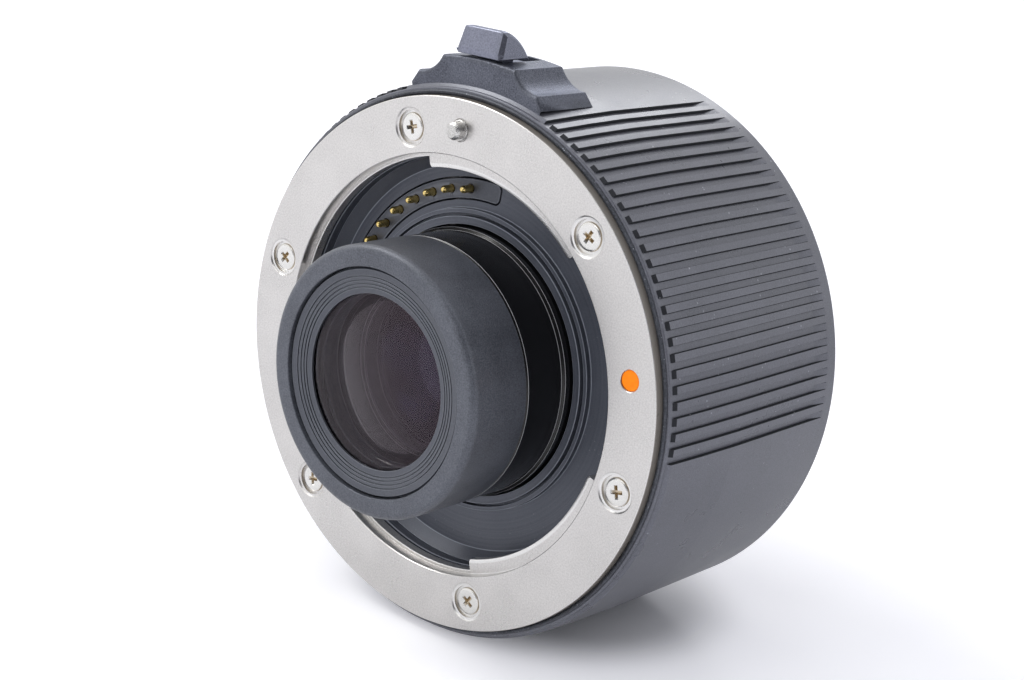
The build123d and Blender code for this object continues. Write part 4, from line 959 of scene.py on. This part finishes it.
def make_housing():
    """Hump on the barrel: a section carried along y between two leaning ends.

    The section is a flat-topped arc, a hollow flank through three points and a short skirt. Above a
    section point of radius R the front end lies at y = 2.3 + 0.05 (R - 40) / 4.4 and the rear one
    at y = 13.35 - 0.9 (R - 40) / 4.4. Quarter circles of 0.55 mm, or 0.45 (R - 40) if that is
    less, join end and top. The foot lies at radius 39.2, inside the barrel.
    """
    foot_radius, top_radius, top_end = 39.2, 43.4, 8.7
    front_foot, rear_foot = 2.3, 13.35
    height, front_lean, rear_lean = 4.4, 0.05, 0.9
    guard = 1.6
    ridge = at_clock(41.55, 15.1)[0]
    scoop = circle_through(at_clock(top_radius, top_end)[0], at_clock(41.7, 11.5)[0], ridge, 26)
    top = at_clock(top_radius, np.linspace(0, top_end, 16))
    half = np.concatenate((top[:-1], scoop, at_clock(barrel_radius, 17.1)))
    join = len(top) - 1

    def eased(at, before, after):
        """Three points in place of a corner, out along its sides by these shares of them."""
        ends = half[at] + (half[[at - 1, at + 1]] - half[at]) * np.array([[before], [after]])
        return np.stack((ends[0], half[at] * 0.5 + ends.mean(0) * 0.5, ends[1]))

    side = np.concatenate((half[:join], eased(join, 0.35, 0.35), half[join + 1:-2],
                           eased(-2, 0.5, 0.12), half[-1:]))
    section = np.concatenate((side[:0:-1] * (-1, 1), side)) @ turn_about_axis(release_angle)
    size = np.linalg.norm(section, axis=1)
    lift = (size - barrel_radius) / height
    base = section * (foot_radius / size)[:, None]
    reach = np.minimum(0.55, 0.45 * (size - barrel_radius))
    lean = front_lean / height
    t = np.linspace(0, np.pi / 2, 7)[:, None]

    def drawn(distance, y):
        """The section drawn at other distances from the axis."""
        return np.stack((section[:, 0] / size * distance, y + 0 * distance,
                         section[:, 1] / size * distance), -1)

    def end(y, foot, way):
        """Rows over one end: foot, leaning face, quarter circle, and one row on the top."""
        foot = np.stack((base[:, 0], foot + 0 * y, base[:, 1]), -1)
        below = drawn(size - reach * guard, y - way * lean * reach * guard)
        curve = drawn(size - reach * (1 - np.sin(t)),
                      y + way * (reach * (1 - np.cos(t)) - lean * reach * (1 - np.sin(t))))
        on_top = np.stack((section[:, 0], y + way * reach * guard, section[:, 1]), -1)
        return np.concatenate((foot[None], below[None], curve, on_top[None]))

    rows = np.concatenate((end(front_foot + front_lean * lift, front_foot, 1),
                           end(rear_foot - rear_lean * lift, rear_foot, -1)[::-1]))
    # The seven rows of each quarter circle carry the edge mark
    edge = np.zeros(rows.shape[:2])
    edge[2:9] = edge[-9:-2] = 1
    grid = np.concatenate((rows, edge[..., None]), -1)
    faces = net(rows.shape[0], rows.shape[1], True, False).tolist()
    piece = mesh_object("release_housing_cast", (grid.reshape(-1, 4), faces))
    cut(piece, block((-3.1, 3.35, 42.5), (3.1, 11.55, 45.0)), stem_slot(38.0, 45.0))
    return finish(piece, ["release_housing"], housing_finish, crease=24)


def make_lever():
    """Leaning wedge: a side outline carried across x to the half width 4.25 - 0.1 (z - 43.65).

    Towards each side the outline shrinks by a bevel, 0.6 mm on the front, 0.5 to 0.4 mm at the
    crest and 0.35 to 0.25 mm down the rear, while x grows by the same amount. The crest is domed:
    z falls by x^2 / 36 times its share of the lever's height.
    """
    back = circle_through((4.1, 47.65), (6.5, 46.05), (8.1, lever_foot), 14)
    outline = np.concatenate(([(8.1, lever_foot), (2.2, lever_foot), (2.2, 44.55), (3.1, 47.65)],
                              back[:-1]))
    bevel = np.array([0.25, 0.6, 0.6, 0.5, 0.4] + list(np.linspace(0.35, 0.25, 12)))
    radii = np.array([0.2, 0.15, 0.3, 0.35, 0.5] + [0.01] * 12)
    loop = softened(np.column_stack((outline, bevel)), radii, 6)
    along = np.roll(loop[:, :2], -1, 0) - np.roll(loop[:, :2], 1, 0)
    along /= np.maximum(np.linalg.norm(along, axis=1), 1e-9)[:, None]
    inward = np.stack((along[:, 1], -along[:, 0]), -1)
    middle = loop[:, :2].mean(0)
    inward *= np.sign(((middle - loop[:, :2]) * inward).sum(1).mean())
    share = np.array([0.0, 0.06, 0.5, 0.94, 1.0])
    shrink = np.array([0.0, 0.02, 0.5, 0.98, 1.0])
    yz = loop[None, :, :2] + inward[None] * (shrink[:, None] * loop[None, :, 2])[..., None]
    width = 4.25 - 0.1 * (yz[..., 1] - lever_foot)
    x = width - loop[None, :, 2] * (1 - share[:, None])
    mark = np.tile(np.array([0.6, 1, 1, 1, 0.6])[:, None], (1, len(loop)))
    right = np.stack((x, yz[..., 0], yz[..., 1], mark), -1)
    inner = right[:1] * (0.8, 1, 1, 0)
    right = np.concatenate((inner, right))
    grid = np.concatenate((right[::-1] * (-1, 1, 1, 1), right))
    dome, height = 36, 4.0
    lift = np.clip((grid[..., 2] - lever_foot) / height, 0, 1)
    grid[..., 2] -= grid[..., 0] ** 2 / dome * lift
    grid[..., (0, 2)] = grid[..., (0, 2)] @ turn_about_axis(release_angle)
    stem = block((-2.2, 4.4, 31.9), (2.2, 6.7, 43.66))
    piece = mesh_object("release_lever_moulded",
                        gather((grid.reshape(-1, 4), tube_faces(len(grid), len(loop))), stem))
    bore = [(4.0, 0.0), (4.0, 0.7), (7.0, 0.7), (7.0, 0.0)]
    cut(piece, studs(bore, 32, screw_circle, release_angle))
    return finish(piece, ["release_lever"], lever_finish, body=SLIDE, crease=24)


def make_lock_pin():
    """Stepped steel pin with a bevelled nose and a plain bore at its rear, and its spring."""
    outline = [(-1.75, 0.0), (-1.75, 0.86), (-1.71, 0.92), (-1.42, 1.2), (-1.35, 1.24),
               (-0.25, 1.24), (-0.25, 1.36), (-0.19, 1.42), (0.1, 1.42), (0.1, 1.5), (4.4, 1.5),
               (4.4, 0.7), (1.8, 0.7), (1.8, 0.0)]
    rows = np.column_stack((outline, [0, 0, 1, 1, 0, 0, 1, 1, 0, 0, 0, 0, 0, 0]))
    piece = mesh_object("lock_pin_turned", studs(rows, 64, screw_circle, release_angle))
    finish(piece, ["lock_pin"], pin_finish, body=SLIDE)
    spring = mesh_object("lock_spring_wound",
                         coil(1.5, 0.15, 6.7, 11.7, 7, (0.0, screw_circle), 36, 10))
    finish(spring, ["lock_spring"], spring_finish, crease=60)
    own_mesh(spring)


# Camera side

def make_camera_mount():
    """Male bayonet ring: flange, tube and three lugs; its lug radius is 27.6 + 1.5 * lug(c)."""
    seat, end = 39.0, 47.3
    outline = [(seat, 26.0, 0), (seat, 36.0, 0), (flange_rear - 0.15, 36.0, 0),
               (flange_rear, 35.85, 0), (flange_rear, 27.6, 0), (45.1, 27.6, 0),
               (45.1, 27.62, 1.48), (46.6, 27.62, 1.48), (46.6, 27.6, 0), (end - 0.2, 27.6, 0),
               (end, 27.4, 0), (end, 26.0, 0)]
    radii = np.array([0.05, 0.05, 0.05, 0.05, 0.1, 0.01, 0.01, 0.01, 0.01, 0.05, 0.05, 0.08])
    lock_hole = np.array([(-0.5, 0.0), (-0.5, 1.6), (0.0, 1.6), (0.1, 1.5), (2.2, 1.5),
                          (2.2, 0.0)])
    mirror, face = (-1, 1), (flange_rear, 0)
    piece = mount_ring("camera_mount_ring_turned", softened(outline, radii), (27.0, 1.5, 29.1),
                       ((screw_bore * mirror + face, camera_screw_angles),
                        (dot_bore * mirror + face, camera_dot_angle),
                        (lock_hole * mirror + face, 0.0)))
    return finish(piece, ["camera_mount_ring"], steel_finish)


def make_rear_baffle():
    """Cup with a round-cornered picture window."""
    outline = [(39.0, 21.9), (39.0, 25.85), (40.0, 25.85), (40.0, 22.9), (45.6, 22.9), (45.6, 0.0),
               (44.6, 0.0), (44.6, 21.9)]
    rows = softened(outline, np.array([0.05, 0.05, 0.05, 0.05, 0.25, 0.0001, 0.0001, 0.3]))
    piece = mesh_object("rear_baffle_moulded", turned(rows, 240))
    window = bar_outline(16.0, 12.5, 3.0, 0.0, along=2, steps=10)
    x, z = (np.tile(window[:, k], (2, 1)) for k in (0, 1))
    grid = np.stack((x, np.array([[44.0], [46.2]]) + 0 * x, z, 0 * x), -1)
    cut(piece, (grid.reshape(-1, 4), tube_faces(2, len(window))))
    return finish(piece, ["rear_baffle"], baffle_finish)


def make_rear_contacts():
    """Arc block inside the rear bayonet with a flat gold pad over each contact angle."""
    piece = mesh_object("rear_contact_block_moulded",
                        arc_bar(40.0, 47.1, contact_circle, 2.6, *block_ends, 0.8, 0.12))
    finish(piece, ["rear_contact_block"], block_finish)
    rows = [(47.1, 0.0), (47.1, 0.85), (47.2, 0.85), (47.25, 0.8), (47.25, 0.0)]
    pads = mesh_object("rear_contact_pads_plated",
                       studs(rows, 40, contact_circle, contact_angles))
    finish(pads, ["rear_contact_pads"], gold_finish)


make_barrel()
make_lens_mount()
make_screws("lens_mount_screws_turned", ["lens_mount_screws"], 0.3, 1, lens_screw_angles, 5.4)
make_dot("lens_index_dot_filled", ["lens_index_dot"], 0.12, 1, lens_dot_angle)
make_seal()
make_baffle()
make_contact_block()
make_pins()
make_hood()
make_retainer()
make_front_tube()
make_plain_ring("rear_group_tube",
                [(11.5, 12.1), (11.5, 14.6), (17.0, 14.6), (17.0, 17.4), (24.0, 17.4),
                 (24.0, 19.6), (37.2, 19.6), (37.2, 17.45), (31.0, 17.45), (31.0, 16.4),
                 (24.0, 12.1)], inner_finish)
make_plain_ring("lens_spacer",
                [(-6.8, 12.0), (-6.8, 13.5), (1.6, 13.5), (1.6, 12.4), (-1.1, 12.4), (-1.4, 12.0),
                 (-1.75, 12.0), (-2.0, 12.6), (-5.2, 12.6), (-5.7, 12.0)],
                inner_finish)
make_plain_ring("rear_retaining_ring", [(33.1, 16.4), (33.1, 17.45), (34.6, 17.45), (34.6, 16.4)],
                retainer_finish)
# Each lens: its number, rims, curves, radius, glass and the shift of its front face
for number, *lens in ((1, -12.4, -8.2, 90.0, 46.0, 13.3, glass_front, 0.0),
                      (2, 1.6, 2.8, 42.0, -36.0, 13.5, glass_inner, 0.0),
                      (3, 2.8, 6.0, -36.0, -120.0, 13.5, glass_inner, -0.004),
                      (4, 7.3, 11.5, -60.0, 60.0, 12.9, glass_inner, 0.0),
                      (5, 31.0, 33.1, 60.0, -110.0, 17.4, glass_inner, 0.0)):
    make_glass(f"lens_element_{number}", *lens)
make_housing()
make_lever()
make_lock_pin()
make_camera_mount()
make_screws("camera_mount_screws_turned", ["camera_mount_screws"], flange_rear - 0.3, -1,
            camera_screw_angles, 36.8)
make_dot("camera_index_dot_filled", ["camera_index_dot"], flange_rear - 0.12, -1,
         camera_dot_angle)
make_rear_baffle()
make_rear_contacts()

# CAD pieces that keep their shape and get a finish
kept = {
    "mount_leaf_springs": spring_finish, "chassis_tube": alloy_finish,
    "carrier_plate": alloy_finish, "carrier_screws": screw_finish, "contact_flex": flex_finish,
    "tube_clamp_ring": alloy_finish, "main_board": board_finish, "board_chips": chip_finish,
    "board_screws": screw_finish,
    "release_housing_screws": screw_finish, "dust_plate": lever_finish, "lever_screw": screw_finish,
}
for node_name, material in kept.items():
    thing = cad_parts[node_name]
    for holder in thing.material_slots:
        holder.material = material


# Studio

def make_floor():
    """Pale floor under the barrel, a flat sheet that runs far behind the object.

    For the camera alone it glows as lit paper, outside an ellipse of 25 by 27 mm half axes round
    the barrel's underside; the ellipse, left without the glow, is a painted shadow.
    """
    half = 4000.0
    points = np.array([(x * half, y * half, floor_height, 0)
                       for x, y in ((-1, -1), (1, -1), (1, 1), (-1, 1))])
    floor = mesh_object("floor", (points, [[0, 1, 2, 3]]))
    made, tree, shader, place = start_material("floor_paper")
    paper = use(tree, grain, place, Cells_Per_Metre=60.0, Low_Colour=(0.86, 0.86, 0.875, 1),
                High_Colour=(0.89, 0.89, 0.90, 1))
    middle = (8 * MM, 30 * MM, floor_height * MM)
    away = node(tree, "ShaderNodeVectorMath", {0: place, 1: middle}, operation="SUBTRACT")
    share = node(tree, "ShaderNodeVectorMath",
                 {0: away.outputs["Vector"], 1: (25 * MM, 27 * MM, 1.0)}, operation="DIVIDE")
    far = node(tree, "ShaderNodeVectorMath", {0: share.outputs["Vector"]}, operation="LENGTH")
    seen = tree.nodes.new("ShaderNodeLightPath").outputs["Is Camera Ray"]
    # Painted shadow: no glow inside the ellipse under the barrel.
    clear = times(tree, seen, ranged(tree, far.outputs["Value"], 0.55, 1.05))
    feed(tree, shader, {
        "Base Color": paper["Colour"], "Roughness": 0.9, "Specular IOR Level": 0.1,
        "Emission Color": mixed(tree, clear, (0.0, 0.0, 0.0), (0.29, 0.29, 0.31)),
        "Emission Strength": 1.0})
    floor.data.materials.append(made)


def make_world():
    """White surroundings for camera, mirror and glass rays, and softer light for the rest.

    That softer light is three times as strong from the front as from behind. Round the direction
    (0.55, -0.69, 0.47) the first kind of ray meets a dark room, full within 32 degrees of it and
    gone at 63 degrees.
    """
    world = bpy.data.worlds.new("studio")
    bpy.context.scene.world = world
    world.use_nodes = True
    tree = world.node_tree
    way = tree.nodes.new("ShaderNodeTexCoord").outputs["Generated"]

    def facing(direction, low, high):
        """0 to 1 as the ray's cosine with a direction goes from low to high."""
        cosine = node(tree, "ShaderNodeVectorMath", {0: way, 1: direction},
                      operation="DOT_PRODUCT").outputs["Value"]
        return ranged(tree, cosine, low, high)

    room = facing((0.55, -0.69, 0.47), 0.45, 0.85)
    mirrored = mixed(tree, room, (0.98, 0.98, 0.985), (0.05, 0.05, 0.06))
    ahead = facing((-0.1, -0.96, 0.26), -0.2, 1.0)
    ambient = mixed(tree, ahead, (0.42, 0.43, 0.47), (1.25, 1.25, 1.28))
    path = tree.nodes.new("ShaderNodeLightPath").outputs
    direct = math(tree, "MAXIMUM", path["Is Camera Ray"], path["Is Glossy Ray"])
    direct = math(tree, "MAXIMUM", direct, path["Is Transmission Ray"])
    feed(tree, tree.nodes["Background"],
         {"Color": mixed(tree, direct, ambient, mirrored), "Strength": 1.0})


def make_lamp(name, place, aim, size, power, colour=(1.0, 1.0, 1.0)):
    """Square soft lamp at a place, in metres, that looks at a point."""
    data = bpy.data.lights.new(name, "AREA")
    data.shape = "SQUARE"
    data.size = size
    data.energy = power
    data.color = colour
    lamp = bpy.data.objects.new(name, data)
    bpy.context.scene.collection.objects.link(lamp)
    way = Vector(aim) - Vector(place)
    lamp.location = place
    lamp.rotation_euler = way.to_track_quat("-Z", "Y").to_euler()
    return lamp


def make_camera():
    """Camera at the photograph's place: near the floor, to the right of the lens side."""
    data = bpy.data.cameras.new("photo_camera")
    data.lens = 68.55
    data.sensor_width = 36.0
    data.sensor_fit = "HORIZONTAL"
    data.clip_start = 0.01
    data.clip_end = 50.0
    camera = bpy.data.objects.new("photo_camera", data)
    bpy.context.scene.collection.objects.link(camera)
    right = Vector((0.7509, 0.6524, 0.1023))
    up = Vector((-0.2609, 0.1507, 0.9535))
    ahead = Vector((-0.6067, 0.7427, -0.2834))
    turn = Matrix((right, up, -ahead)).transposed().to_4x4()
    camera.matrix_world = Matrix.Translation((0.1724, -0.1955, 0.0821)) @ turn
    bpy.context.scene.camera = camera


make_floor()
make_world()
make_lamp("key_softbox", (-1.35, -0.66, 1.66), (0, 0, 0.03), 0.85, 16.0, (1.0, 0.99, 0.96))
make_lamp("front_softbox", (-0.1, -1.9, 1.3), (0, 0, 0), 1.2, 6.0)
make_lamp("rear_softbox", (-0.8, 1.7, 1.4), (0, 0, 0), 0.8, 6.5)
make_camera()

bpy.context.scene.view_settings.view_transform = "Standard"
